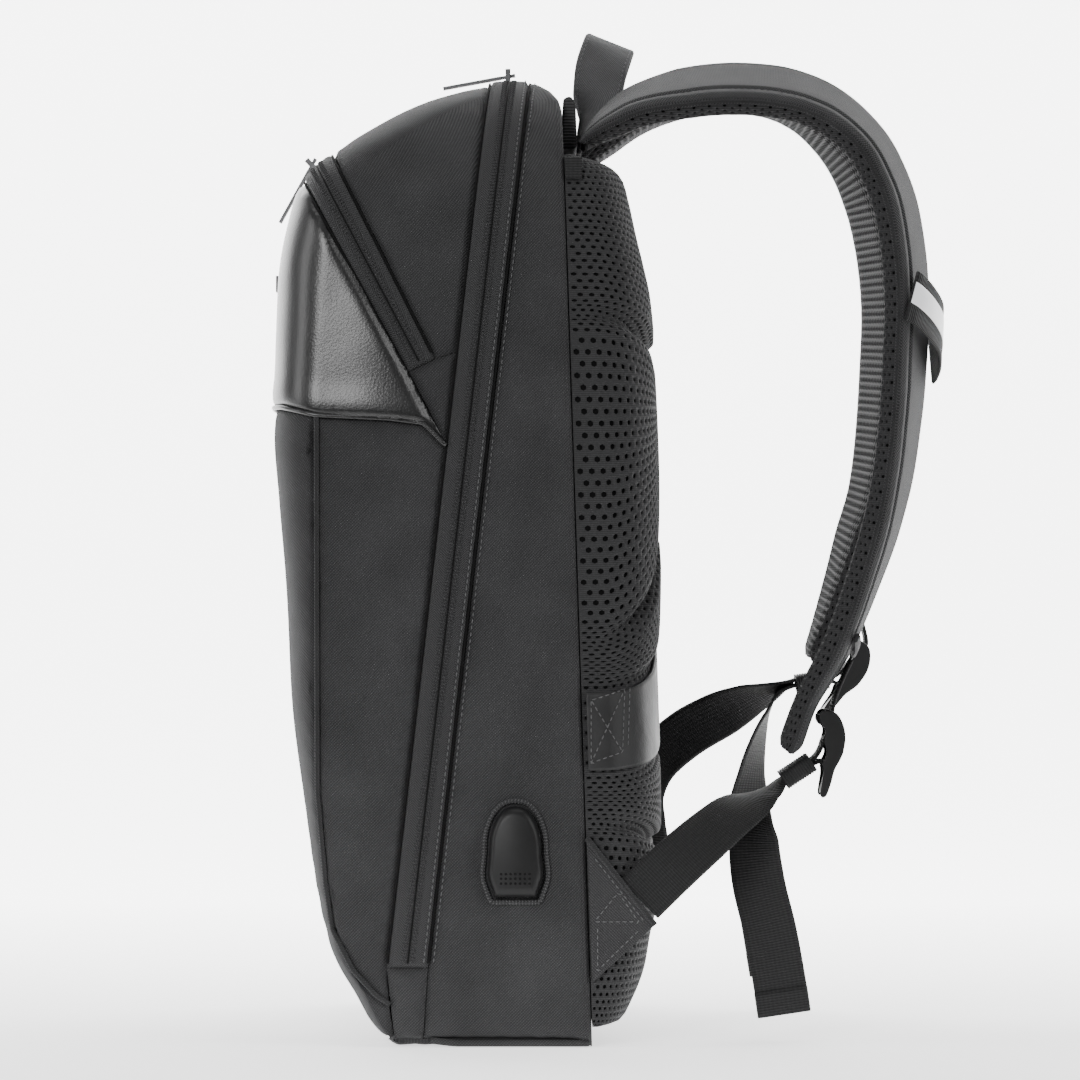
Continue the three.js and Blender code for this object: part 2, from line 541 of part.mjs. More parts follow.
// Grab handle: one webbing that turns its face over between its two feet.
// `swing` is the turn of its width from across the bag to the rear.
const HANDLE_ROWS = [
  { x: 36, out: 0.27, up: 0.9304, swing: 0 }, { x: 36, out: 0.274, up: 0.9459, swing: 3 },
  { x: 36, out: 0.291, up: 0.9591, swing: 15 }, { x: 36, out: 0.315, up: 0.9746, swing: 35 },
  { x: 35, out: 0.331, up: 0.9923, swing: 64 }, { x: 33, out: 0.336, up: 1.0077, swing: 82 },
  { x: 30, out: 0.343, up: 1.0232, swing: 88 }, { x: 19, out: 0.363, up: 1.0442, swing: 90 },
  { x: 0, out: 0.373, up: 1.053, swing: 90 },
]

function handleRows() {
  const near = HANDLE_ROWS.map(({ x, out, up, swing }) => {
    const angle = THREE.MathUtils.degToRad(swing)
    const fall = -0.4 * Math.sin(angle) * THREE.MathUtils.smoothstep(up, 0.9945, 1.0497)
    return { at: [x, out * DEPTH, up * HEIGHT], hint: [Math.cos(angle), Math.sin(angle), fall] }
  })
  const far = near.slice(0, -1).reverse().map(({ at: [x, y, z], hint: [a, b, c] }) =>
    ({ at: [-x, y, z], hint: [-a, b, c] }))
  return [...near, ...far]
}

piece('grab_handle', webbing(handleRows(), 2), WEBBING)

// Adjusting straps: each runs from a wing at the foot of the back up to its lock, round the
// lock's middle bar, back through the keeper, and hangs down as a loose tail.
// `bar` is the middle bar's centre [y, z]; `turn` swings the lock's foot towards the bag.
const LOCK_X = 92
const LOCK_HALF = 16.2
const RAIL = 2.8
const NEAR = { bar: [1.06 * DEPTH, 0.305 * HEIGHT], turn: 0 }
const FAR = { bar: [1.1833 * DEPTH, 0.3713 * HEIGHT], turn: 25 }

// A point of the lock's own side view, [out, up] from its middle bar, in the bag's side view
function lockPoint({ bar, turn }, [out, up]) {
  const angle = THREE.MathUtils.degToRad(turn)
  return [
    bar[0] + out * Math.cos(angle) + up * Math.sin(angle),
    bar[1] - out * Math.sin(angle) + up * Math.cos(angle),
  ]
}

const RAIL_OUTLINE = [
  [-4.8, 17], [1.5, 16.2], [5, 11], [6.2, 4], [4.6, -4], [1.2, -10.5], [-0.6, -17], [-3, -23],
  [-5.6, -22.5], [-4.4, -13], [-4.6, -8], [-2.6, -3], [-4, 3], [-3.4, 8], [-6.2, 13]]
const TOP_BAR = [[-4.4, 15.6], [-1.2, 15.4], [-1.2, 12.4], [-4.4, 12.4]]
const MIDDLE_BAR = [[-1.8, 2.6], [1.8, 2.6], [2.8, -1], [1.4, -3], [-1.4, -2.4]]
const LIFT_TAB = [[-2.6, -11.2], [0.6, -11.4], [-0.8, -17], [-3, -22.6], [-5.4, -22.2]]

function lock(place) {
  const slab = (outline, fromX, toX) => sideSlab(
    outline.map((point) => lockPoint(place, point)), fromX, toX)
  return join(
    slab(RAIL_OUTLINE, LOCK_X - LOCK_HALF, LOCK_X - LOCK_HALF + RAIL),
    slab(RAIL_OUTLINE, LOCK_X + LOCK_HALF - RAIL, LOCK_X + LOCK_HALF),
    ...[TOP_BAR, MIDDLE_BAR, LIFT_TAB].map((outline) => slab(
      outline, LOCK_X - LOCK_HALF + RAIL / 2, LOCK_X + LOCK_HALF - RAIL / 2)))
}

piece('ladder_lock_near', lock(NEAR), PLASTIC)
piece('ladder_lock_far', mirrored(lock(FAR)), PLASTIC)

// Webbing that holds the lock: sewn on the strap's face, round the top bar and back under itself
const HOLDER = [
  [0.4, 17], [0.4, 13], [-0.8, 10.8], [-2.8, 10.2], [-4.9, 10.9], [-6.1, 12.8], [-6, 15]]
const HOLDER_WIDTH = 24

function holder(place, root) {
  const run = [
    ...root.map(([out, up]) => [out * DEPTH, up * HEIGHT]),
    ...HOLDER.map((point) => lockPoint(place, point))]
  const rows = run.map(([y, z]) => ({ at: [LOCK_X, y, z], hint: [1, 0, 0] }))
  return loft(stationsAlong(rows, 2).map(
    (station) => ringAt(station, flatSection(HOLDER_WIDTH, WEB_THICK))))
}

piece('lock_webbing_near', holder(NEAR, [[1.124, 0.3956], [1.0973, 0.3768], [1.0747, 0.358]]), WEBBING)
piece('lock_webbing_far', mirrored(
  holder(FAR, [[1.1853, 0.4475], [1.212, 0.4343], [1.228, 0.4188]])), WEBBING)

// Where the strap goes round the lock: points of the lock's side view
const ROUND_BAR = [
  [-7.7, -4.9], [-5, -0.6], [-3.5, 3.4], [0, 5.2], [3.6, 3.6], [4.9, -0.6], [3.1, -5.4],
  [-1.4, -7.6], [-6.3, -7.1]]

function adjuster(place, climb, tail) {
  const inLock = ROUND_BAR.map((point) =>
    ({ at: [LOCK_X, ...lockPoint(place, point)], hint: [1, 0, 0] }))
  return webbing([...climb, ...inLock, ...tail], 2)
}

// A row of a strap's route: x, shares out of DEPTH and up of HEIGHT, and the width's direction
const row = (x, out, up, hint) => ({ at: [x, out * DEPTH, up * HEIGHT], hint })
piece('adjuster_strap_near', adjuster(NEAR, [
  row(145.2, 0.452, 0.1525, [0, 0.7, -0.7]), row(141, 0.5533, 0.1845, [0.1, 0.68, -0.7]),
  row(131, 0.6447, 0.2102, [0.35, 0.6, -0.7]), row(118, 0.7413, 0.2354, [0.65, 0.35, -0.6]),
  row(103, 0.8267, 0.2533, [0.92, 0.1, -0.3]), row(93, 0.8887, 0.2672, [1, 0, 0]),
], [
  row(92, 0.898, 0.2621, [1, 0, 0]), row(92, 0.856, 0.2484, [1, 0.1, 0]),
  row(92, 0.8293, 0.2298, [0.8, 0.6, 0]), row(92, 0.8187, 0.2077, [0.4, 0.9, 0]),
  row(92, 0.8313, 0.1649, [0.1, 1, 0.1]), row(93, 0.87, 0.1105, [0, 1, 0.2]),
  row(94, 0.9, 0.0552, [0, 1, 0.2]), row(94, 0.9133, 0.0254, [0, 1, 0.2]),
]), WEBBING)
piece('adjuster_strap_far', mirrored(adjuster(FAR, [
  row(145.2, 0.459, 0.1547, [0, 0.7, -0.7]), row(145.2, 0.492, 0.1691, [0, 0.75, -0.6]),
  row(144.5, 0.5, 0.2033, [-0.45, 0.8, -0.25]), row(141, 0.497, 0.2365, [-0.5, 0.8, -0.3]),
  row(134, 0.533, 0.2696, [-0.3, 0.7, -0.6]), row(124, 0.633, 0.3017, [0, 0.5, -0.85]),
  row(113, 0.753, 0.3255, [0.3, 0.4, -0.8]), row(103, 0.869, 0.347, [0.75, 0.25, -0.5]),
  row(93, 0.9867, 0.3642, [1, 0, 0]),
], [
  row(92, 0.9933, 0.3585, [1, 0, 0]), row(92, 0.9433, 0.3503, [1, 0, 0]),
  row(92, 0.9053, 0.3284, [1, 0.1, 0]), row(92, 0.8787, 0.3028, [0.95, 0.3, 0]),
  row(92, 0.852, 0.2608, [0.8, 0.55, 0]), row(92, 0.8453, 0.2122, [0.4, 0.9, 0]),
  row(92, 0.8767, 0.1436, [0, 1, 0.1]), row(93, 0.91, 0.0796, [0, 1, 0.1]),
  row(94, 0.93, 0.0398, [0, 1, 0.1]),
])), WEBBING)

// Elastic keeper round both runs of the strap, just below the lock
const KEEPER = { length: 16, wall: 1.1, inner: [WEB_WIDTH + 3.4, 6.8] }

function keeper(place) {
  const middle = lockPoint(place, [-16, -11.6])
  const slope = THREE.MathUtils.degToRad(33.5 - place.turn)
  const [wide, high] = KEEPER.inner
  const sleeve = subtract(
    box(wide + 2 * KEEPER.wall, KEEPER.length, high + 2 * KEEPER.wall),
    box(wide, KEEPER.length + 2, high))
  return sleeve.rotateX(slope).translate(LOCK_X + 0.8, ...middle)
}

piece('strap_keeper_near', keeper(NEAR), WEBBING)
piece('strap_keeper_far', mirrored(keeper(FAR)), WEBBING)

// Folded wing at the foot of the back that holds the adjusting strap
const WING = [seamPoint(0.2893, 0.2148), seamPoint(0.5, 0.1257), seamPoint(0.3067, 0.0665)]
pair('anchor_wing', sideSlab(WING, HALF_WIDTH - 1, HALF_WIDTH + 1.4), TWILL)

// Charging port on the near side: a moulded hood in an arched frame
const PORT = { y: 0.0693 * DEPTH, z: 0.2011 * HEIGHT }
const SOCKET = { out: 4.2, thick: 4.5, wide: 12.4, long: 20, up: -19 }
const PORT_OUTLINE = [
  { across: 9.6, up: -21 }, { across: 10.8, up: -15 }, { across: 12, up: 0 }, { across: 11.2, up: 9 },
  { across: 8, up: 16.5 }, { across: 3.4, up: 20.4 },
]
const HOOD_RINGS = [
  { out: 0.9, size: 1 }, { out: 4.2, size: 1 }, { out: 6.6, size: 0.94 }, { out: 7.8, size: 0.8 }]
const RIM_SIZE = 1.27
const RIM_THICK = 1.4

function portRing(x, size) {
  const half = PORT_OUTLINE.map(({ across, up }) => [across * size, up * size])
  const other = half.map(([across, up]) => [-across, up]).reverse()
  return [...half, ...other].map(([across, up]) => [x, PORT.y + across, PORT.z + up])
}

const hoodSolid = loft(HOOD_RINGS.map(({ out, size }) => portRing(HALF_WIDTH + out, size)))
piece('port_hood', subtract(hoodSolid, box(SOCKET.thick, SOCKET.wide, SOCKET.long, [
  HALF_WIDTH + SOCKET.out, PORT.y, PORT.z + SOCKET.up])), PLASTIC)
const rimSolid = (from, to, size) => loft([
  portRing(HALF_WIDTH + from, size), portRing(HALF_WIDTH + to, size)])
piece('port_rim', subtract(
  rimSolid(GAP, GAP + RIM_THICK, RIM_SIZE), rimSolid(-1, 4, 1.04)), TWILL)

// Middle of the pocket zip where it crosses the front of the bag, [y, z]
function pocketZipMiddle() {
  const middle = (end) => [0, 1].map((axis) => (pocketFront[end][axis] + pocketRear[end][axis]) / 2)
  const [low, high] = [middle('low'), middle('high')]
  const steps = Array.from({ length: 201 }, (_, k) => [0, 1].map(
    (axis) => THREE.MathUtils.lerp(low[axis], high[axis], k / 200)))
  return steps.find(([y, z]) => y <= frontAt(z))
}

// Zip sliders with their hard pulls. Each stands on its tape: [y, z] of the foot, `lean` turns
// it forwards from upright, and `droop` is how far the pull hangs below the slider's own level.
const SLIDER = { length: 13, half: 3.8, thick: 3, pivot: 6.6, top: 10.3, bar: 1.5 }
const PULL = { width: 7, neck: 4.2, thick: 1.4, shoulder: 3.2, length: 32 }
const [POCKET_Y, POCKET_Z] = pocketZipMiddle()
const SLIDERS = {
  main: { foot: [0.0413 * DEPTH, HEIGHT + TAPE_PROUD + 0.6], lean: 0, droop: 10.4 },
  pocket: { foot: [POCKET_Y - 1, POCKET_Z + 0.9], lean: 44, droop: 17 },
}

function slider() {
  const legs = [-1, 1].map((side) => box(1.4, 2.4, SLIDER.top - 1, [
    side * 3.4, 0, (SLIDER.top - 1) / 2 + 0.5]))
  return join(
    box(SLIDER.length, 2 * SLIDER.half, SLIDER.thick, [0, 0, SLIDER.thick / 2]), ...legs,
    box(8.2, 2.4, SLIDER.bar, [0, 0, SLIDER.top - SLIDER.bar / 2]))
}

function pull() {
  const { width, neck, thick, shoulder, length } = PULL
  return join(
    box(width, length - shoulder, thick, [0, -(length + shoulder) / 2, 0]),
    box(neck, 2 * shoulder, thick, [0, -shoulder / 2 + 0.6, 0]),
    box(width, 1.4, thick, [0, 2.9, 0]))
}

for (const [name, { foot, lean, droop }] of Object.entries(SLIDERS)) {
  const tilt = THREE.MathUtils.degToRad(lean)
  const place = (geometry) => geometry.rotateX(tilt).translate(0, ...foot)
  piece(`${name}_slider`, place(slider()), METAL)
  const hung = pull().rotateX(THREE.MathUtils.degToRad(droop)).translate(0, 0, SLIDER.pivot)
  piece(`${name}_pull`, place(hung), METAL)
}

export default bag
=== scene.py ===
# Look of a laptop backpack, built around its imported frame.
# Sizes are millimetres until a mesh is made; near means the side towards +X.
import math

import bmesh
import bpy
import numpy as np
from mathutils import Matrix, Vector
from mathutils.bvhtree import BVHTree


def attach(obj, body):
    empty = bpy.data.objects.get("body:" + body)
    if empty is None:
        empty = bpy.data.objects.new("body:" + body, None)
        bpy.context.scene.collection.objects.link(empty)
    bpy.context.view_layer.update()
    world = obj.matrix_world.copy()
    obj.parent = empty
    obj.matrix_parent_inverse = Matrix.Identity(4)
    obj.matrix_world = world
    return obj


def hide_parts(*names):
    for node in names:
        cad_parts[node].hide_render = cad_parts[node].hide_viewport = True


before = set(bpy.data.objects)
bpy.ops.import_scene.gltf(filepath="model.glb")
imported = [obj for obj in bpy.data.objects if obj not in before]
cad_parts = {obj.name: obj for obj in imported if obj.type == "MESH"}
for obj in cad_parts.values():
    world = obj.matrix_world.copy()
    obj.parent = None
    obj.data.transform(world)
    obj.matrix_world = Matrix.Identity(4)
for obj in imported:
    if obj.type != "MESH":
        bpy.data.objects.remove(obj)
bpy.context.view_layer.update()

MM = 0.001
BODY = "bag"

# Driving sizes of the body
HEIGHT = 452.5
DEPTH = 150
HALF_WIDTH = 145
TOP_RADIUS = 78
FOOT_RADIUS = 8
CORNER_REACH = 34
REAR_EDGE = 3
BOARD = 2.6
GAP = 0.3
CLOTH = 1.6
GRID = 2.8
TOP_CENTRE = HEIGHT - TOP_RADIUS

# Driving sizes of the webbing, straps and back pads
WEB_WIDTH = 25
WEB_THICK = 1.6
STRAP_HALF = 35
STRAP_THICK = 13.5
PAD_HEIGHT = 40
PAD_RIDGE_X = 80
PAD_INNER_X = 9
PAD_SIDE_INSET = 1.6
PAD_SLANT = 0.25
MESH_PITCH = 4.2
MESH_DEEP = 1.3

# The photograph's camera: metres from the bag's middle plane, and its line of sight
CAMERA_AWAY = 3.0
CAMERA_Y = 0.0218
CAMERA_Z = 0.2352
CAMERA_LENS = 205.5

# Side view of the body, as shares: up of HEIGHT, out of DEPTH
FRONT_PROFILE = np.array([
    (0, -0.325), (0.013, -0.367), (0.053, -0.44), (0.08, -0.49), (0.108, -0.523),
    (0.157, -0.557), (0.225, -0.587), (0.349, -0.637), (0.49, -0.661), (0.561, -0.68),
    (0.63, -0.695), (0.692, -0.694), (0.787, -0.686), (0.864, -0.645), (0.886, -0.62),
    (0.916, -0.537), (0.949, -0.392), (0.978, -0.233), (0.995, -0.086), (1, -0.033)])
REAR_PROFILE = np.array([
    (0, 0.3067), (0.9635, 0.2137), (0.976, 0.203), (0.987, 0.177), (0.996, 0.137), (1, 0.09)])
# Depth of the rounded front corners in millimetres, at shares of the height
CORNER_ROUND = np.array([
    (0, 6), (0.08, 8), (0.17, 9), (0.26, 12), (0.35, 16), (0.65, 23), (0.9, 26), (1, 26)])


# Numbers and curves

def smooth_curve(xs, ys):
    """A smooth function through a table that never overshoots its rows."""
    xs, ys = np.asarray(xs, float), np.asarray(ys, float)
    step = np.diff(xs)
    slope = np.diff(ys) / step
    both = slope[:-1] * slope[1:]
    total = slope[:-1] + slope[1:]
    inner = np.where(both > 0, 2 * both / np.where(total == 0, 1, total), 0)
    tangent = np.concatenate([slope[:1], inner, slope[-1:]])

    def at(x):
        x = np.clip(x, xs[0], xs[-1])
        k = np.clip(np.searchsorted(xs, x) - 1, 0, len(xs) - 2)
        t = (x - xs[k]) / step[k]
        rise = (3 - 2 * t) * t * t
        return (ys[k] * (1 - rise) + ys[k + 1] * rise
                + step[k] * t * (1 - t) * ((1 - t) * tangent[k] - t * tangent[k + 1]))
    return at


front_share = smooth_curve(*FRONT_PROFILE.T)
corner_depth = smooth_curve(*CORNER_ROUND.T)


def front_at(z):
    return front_share(np.asarray(z) / HEIGHT) * DEPTH


def rear_at(z):
    return np.interp(np.asarray(z) / HEIGHT, *REAR_PROFILE.T) * DEPTH


def half_width(z):
    z = np.asarray(z, float)
    top = HALF_WIDTH - TOP_RADIUS + np.sqrt(np.maximum(0, TOP_RADIUS ** 2 - (z - TOP_CENTRE) ** 2))
    foot = HALF_WIDTH - FOOT_RADIUS + np.sqrt(np.maximum(0, FOOT_RADIUS ** 2 - (FOOT_RADIUS - z) ** 2))
    return np.where(z > TOP_CENTRE, top, np.where(z < FOOT_RADIUS, foot, HALF_WIDTH))


def ripple(points, length):
    """Smooth uneven waves of about -1 to 1 over space."""
    q = points * (2 * math.pi / length)
    first = np.sin(q @ [0.9, 0.3, 0.2] + 1.3) * np.sin(q @ [-0.2, 0.8, 0.5] + 0.7)
    second = np.sin(q @ [0.4, -0.7, 1.3] + 2.1) * np.sin(q @ [1.1, 0.5, -0.6])
    return (first + 0.5 * second) / 1.5


def bell(distance, width):
    return np.exp(-(distance / width) ** 2)


def resample(points, step):
    """Points of a line, placed evenly along it."""
    points = np.asarray(points, float)
    run = np.concatenate([[0], np.cumsum(np.linalg.norm(np.diff(points, axis=0), axis=1))])
    count = max(2, int(round(run[-1] / step)) + 1)
    at = np.linspace(0, run[-1], count)
    return np.stack([np.interp(at, run, column) for column in points.T], axis=1)


def unit(vectors):
    return vectors / np.maximum(np.linalg.norm(vectors, axis=-1, keepdims=True), 1e-9)


# Shapes: (points, faces, weave), where weave holds across and along in millimetres

def joined(shapes):
    points, faces, weave, count = [], [], [], 0
    for p, f, w in shapes:
        points.append(p)
        weave.append(w)
        faces += [[i + count for i in face] for face in f]
        count += len(p)
    return np.concatenate(points), faces, np.concatenate(weave)


def mirrored(shape):
    points, faces, weave = shape
    return points * [-1, 1, 1], [face[::-1] for face in faces], weave


def on_side(side, shape):
    """A near shape, or its mirror image on the far side."""
    return mirrored(shape) if side == "far" else shape


def grid_faces(rows, columns, closed):
    wrap = columns if closed else columns - 1
    return [[k * columns + i, k * columns + (i + 1) % columns,
             (k + 1) * columns + (i + 1) % columns, (k + 1) * columns + i]
            for k in range(rows - 1) for i in range(wrap)]


def loft(rings, across=None, along=None):
    """Closed body through rings of points, with its faces out."""
    rings = np.asarray(rings, float)
    rows, columns = rings.shape[:2]
    faces = grid_faces(rows, columns, True)
    faces += [list(range(columns))[::-1], [(rows - 1) * columns + i for i in range(columns)]]
    points = rings.reshape(-1, 3)
    corners = np.array(grid_faces(rows, columns, True))
    a, b, c, d = (points[corners[:, i]] for i in range(4))
    volume = np.einsum("ij,ij->", a, np.cross(b, c)) + np.einsum("ij,ij->", a, np.cross(c, d))
    if volume < 0:
        faces = [face[::-1] for face in faces]
    across = np.zeros(columns) if across is None else np.asarray(across, float)
    if along is None:
        along = np.concatenate([[0], np.cumsum(
            np.linalg.norm(np.diff(rings.mean(axis=1), axis=0), axis=1))])
    weave = np.stack(np.broadcast_arrays(across[None, :], np.asarray(along)[:, None]), axis=-1)
    return points, faces, weave.reshape(-1, 2)


def tube(path, radius, sides=8):
    """Round bar along a line."""
    path = np.asarray(path, float)
    tangent = unit(np.gradient(path, axis=0))
    side = np.cross(tangent[0], [0.3, 0.5, 0.81])
    rings = []
    for point, direction in zip(path, tangent):
        side = unit(side - direction * (side @ direction))
        other = np.cross(direction, side)
        turns = np.arange(sides) * 2 * math.pi / sides
        rings.append([point + radius * (math.cos(t) * side + math.sin(t) * other) for t in turns])
    return loft(rings, across=np.arange(sides) * 2 * math.pi * radius / sides)


def prism(outline, from_x, to_x):
    """An outline of the side view, drawn out along x."""
    ring = np.asarray(outline, float)
    rings = [np.column_stack([np.full(len(ring), x), ring]) for x in (from_x, to_x)]
    points, faces, _ = loft(rings)
    return points, faces, points[:, 1:]


def rounded(outline, per_span=5):
    """A closed outline made smooth through its points."""
    points = np.asarray(outline, float)
    count = len(points)
    made = []
    for i in range(count):
        a, b, c, d = (points[(i + k) % count] for k in (-1, 0, 1, 2))
        for t in np.arange(per_span) / per_span:
            made.append(0.5 * (2 * b + (c - a) * t + (2 * a - 5 * b + 4 * c - d) * t ** 2
                               + (3 * b - a - 3 * c + d) * t ** 3))
    return np.array(made)


def beads(centres, along, normals, size, rings=4, sides=6):
    """Small rounded bodies: size is length along, width and height."""
    turns = np.arange(sides) * 2 * math.pi / sides
    ring_at = np.linspace(0, math.pi, rings + 1)[1:-1]
    template = [(-1, 0, 0)]
    template += [(-math.cos(r), math.sin(r) * math.cos(t), math.sin(r) * math.sin(t))
                 for r in ring_at for t in turns]
    template.append((1, 0, 0))
    last = len(template) - 1
    faces = [[0, 1 + (i + 1) % sides, 1 + i] for i in range(sides)]
    for k in range(len(ring_at) - 1):
        low, high = 1 + k * sides, 1 + (k + 1) * sides
        faces += [[low + i, low + (i + 1) % sides, high + (i + 1) % sides, high + i]
                  for i in range(sides)]
    faces += [[last, last - sides + i, last - sides + (i + 1) % sides] for i in range(sides)]
    shape = np.array(template) * np.array(size) / 2
    along = unit(np.asarray(along, float))
    up = unit(np.asarray(normals, float))
    side = unit(np.cross(up, along))
    up = np.cross(along, side)
    points = (np.asarray(centres)[:, None] + shape[None, :, :1] * along[:, None]
              + shape[None, :, 1:2] * side[:, None] + shape[None, :, 2:] * up[:, None])
    count = len(shape)
    all_faces = [[i + n * count for i in face] for n in range(len(points)) for face in faces]
    flat = points.reshape(-1, 3)
    return flat, all_faces, flat[:, 1:]


def make(name, shape, look, nodes=(), flat=False, body=BODY):
    """A piece of the bag from a shape."""
    points, faces, weave = shape
    mesh = bpy.data.meshes.new(name)
    mesh.from_pydata((points * MM).tolist(), [], faces)
    mesh.attributes.new("weave", "FLOAT_VECTOR", "POINT")
    values = np.zeros((len(points), 3), np.float32)
    values[:, :2] = weave
    mesh.attributes["weave"].data.foreach_set("vector", values.ravel())
    mesh.polygons.foreach_set("use_smooth", [not flat] * len(mesh.polygons))
    mesh.materials.append(look)
    piece = bpy.data.objects.new(name, mesh)
    bpy.context.scene.collection.objects.link(piece)
    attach(piece, body)
    if nodes:
        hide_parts(*nodes)
    return piece


def thicken(piece, thickness):
    shell = piece.modifiers.new("thickness", "SOLIDIFY")
    shell.thickness = thickness * MM
    shell.offset = -1
    shell.use_even_offset = False
    return piece


def soften(piece, width, segments=2, angle=35):
    """Rounds the hard edges of a piece."""
    bevel = piece.modifiers.new("edges", "BEVEL")
    bevel.width = width * MM
    bevel.segments = segments
    bevel.limit_method = "ANGLE"
    bevel.angle_limit = math.radians(angle)
    bevel.harden_normals = True
    return piece


# Materials

class Look:
    """A Principled material whose colour and relief come from nodes."""

    def __init__(self, name, roughness, metallic=0.0, sheen=0.0, coat=0.0, specular=0.5):
        self.material = bpy.data.materials.new(name)
        self.material.use_nodes = True
        self.tree = self.material.node_tree
        self.shader = self.tree.nodes["Principled BSDF"]
        self.shader.inputs["Roughness"].default_value = roughness
        self.shader.inputs["Metallic"].default_value = metallic
        self.shader.inputs["Sheen Weight"].default_value = sheen
        self.shader.inputs["Sheen Roughness"].default_value = 0.5
        self.shader.inputs["Coat Weight"].default_value = coat
        self.shader.inputs["Coat Roughness"].default_value = 0.25
        self.shader.inputs["Specular IOR Level"].default_value = specular
        weave = self.node("ShaderNodeAttribute")
        weave.attribute_name = "weave"
        split = self.node("ShaderNodeSeparateXYZ")
        self.link(weave.outputs["Vector"], split.inputs[0])
        self.across, self.along = split.outputs["X"], split.outputs["Y"]
        self.place = self.node("ShaderNodeTexCoord").outputs["Object"]

    def node(self, kind):
        return self.tree.nodes.new(kind)

    def link(self, start, end):
        self.tree.links.new(start, end)

    def math(self, operation, *values):
        made = self.node("ShaderNodeMath")
        made.operation = operation
        for socket, value in zip(made.inputs, values):
            if isinstance(value, (int, float)):
                socket.default_value = value
            else:
                self.link(value, socket)
        return made.outputs[0]

    def wave(self, value, pitch):
        """0 to 1 and back in each pitch."""
        turned = self.math("SINE", self.math("MULTIPLY", value, 2 * math.pi / pitch))
        return self.math("MULTIPLY_ADD", turned, 0.5, 0.5)

    def noise(self, size, detail=3.0):
        """Uneven 0 to 1 with blotches of about that size in millimetres."""
        made = self.node("ShaderNodeTexNoise")
        made.inputs["Scale"].default_value = 1 / (size * MM)
        made.inputs["Detail"].default_value = detail
        self.link(self.place, made.inputs["Vector"])
        return made.outputs["Fac"]

    def cells(self, size):
        made = self.node("ShaderNodeTexVoronoi")
        made.inputs["Scale"].default_value = 1 / (size * MM)
        self.link(self.place, made.inputs["Vector"])
        return made.outputs["Distance"]

    def colour(self, factor, dark, light):
        """Mixes two colours, and feeds the shader."""
        mix = self.node("ShaderNodeMix")
        mix.data_type = "RGBA"
        self.link(factor, mix.inputs["Factor"])
        mix.inputs["A"].default_value = (*dark, 1)
        mix.inputs["B"].default_value = (*light, 1)
        self.link(mix.outputs["Result"], self.shader.inputs["Base Color"])

    def rough(self, factor, low, high):
        made = self.node("ShaderNodeMapRange")
        self.link(factor, made.inputs["Value"])
        made.inputs["To Min"].default_value = low
        made.inputs["To Max"].default_value = high
        self.link(made.outputs["Result"], self.shader.inputs["Roughness"])

    def relief(self, *layers):
        """Bump from pairs of height and depth in millimetres."""
        normal = None
        for height, depth in layers:
            bump = self.node("ShaderNodeBump")
            bump.inputs["Distance"].default_value = depth * MM
            self.link(height, bump.inputs["Height"])
            if normal:
                self.link(normal, bump.inputs["Normal"])
            normal = bump.outputs["Normal"]
        self.link(normal, self.shader.inputs["Normal"])


def grey(value, tint=1.03):
    return (value, value, value * tint)


def twill_look(name="twill", light=0.034, pitch=1.45):
    look = Look(name, 0.78, sheen=0.03, specular=0.15)
    rising = look.wave(look.math("ADD", look.across, look.along), pitch)
    falling = look.wave(look.math("SUBTRACT", look.across, look.along), pitch)
    weave = look.math("MULTIPLY", rising, look.math("MULTIPLY_ADD", falling, 0.7, 0.3))
    blotches = look.noise(28)
    threads = look.noise(0.7, 2)
    tone = look.math("MULTIPLY_ADD", blotches, 0.35, look.math("MULTIPLY_ADD", weave, 0.5,
                     look.math("MULTIPLY", threads, 0.2)))
    look.colour(tone, grey(light * 0.12), grey(light * 2.0))
    look.rough(threads, 0.66, 0.84)
    look.relief((weave, 0.34), (threads, 0.14))
    return look.material


def tape_look():
    look = Look("zip_tape", 0.78, sheen=0.03, specular=0.18)
    zigzag = look.math("PINGPONG", look.across, 3.1)
    chevron = look.wave(look.math("ADD", look.along, zigzag), 1.15)
    fine = look.wave(look.across, 0.75)
    threads = look.noise(0.6, 2)
    tone = look.math("MULTIPLY_ADD", chevron, 0.55, look.math("MULTIPLY_ADD", fine, 0.15,
                     look.math("MULTIPLY", threads, 0.3)))
    look.colour(tone, grey(0.006), grey(0.06))
    look.rough(threads, 0.7, 0.86)
    look.relief((chevron, 0.25), (fine, 0.08))
    return look.material


def leather_look():
    look = Look("leather", 0.34, coat=0.2, specular=0.55)
    grain = look.cells(1.1)
    fine = look.noise(0.5, 4)
    soft = look.noise(35, 2)
    look.colour(soft, grey(0.004), grey(0.009))
    look.rough(look.math("MULTIPLY_ADD", fine, 0.5, look.math("MULTIPLY", soft, 0.5)), 0.3, 0.44)
    look.relief((grain, 0.07), (fine, 0.05))
    return look.material


def band_look():
    look = Look("band_leather", 0.5, specular=0.35)
    grain = look.cells(0.9)
    soft = look.noise(14, 3)
    look.colour(soft, grey(0.006), grey(0.014))
    look.rough(soft, 0.42, 0.6)
    look.relief((grain, 0.07), (soft, 0.6))
    return look.material


def mesh_look(light=0.03):
    look = Look("mesh", 0.8, sheen=0.05, specular=0.18)
    knit = look.wave(look.along, 0.9)
    threads = look.noise(0.8, 3)
    look.colour(look.math("MULTIPLY_ADD", knit, 0.4, look.math("MULTIPLY", threads, 0.6)),
                grey(light * 0.45), grey(light * 1.4))
    look.rough(threads, 0.72, 0.88)
    look.relief((knit, 0.14), (threads, 0.16))
    return look.material


def foam_and_shade_look():
    # Near-black foam; the same material makes the port's grip dots and is the painted shade in the zips'
    # slits and along their tapes' edges
    look = Look("foam", 0.95, specular=0.2)
    pores = look.noise(1.2, 3)
    look.colour(pores, grey(0.002), grey(0.006))
    look.relief((pores, 0.3),)
    return look.material


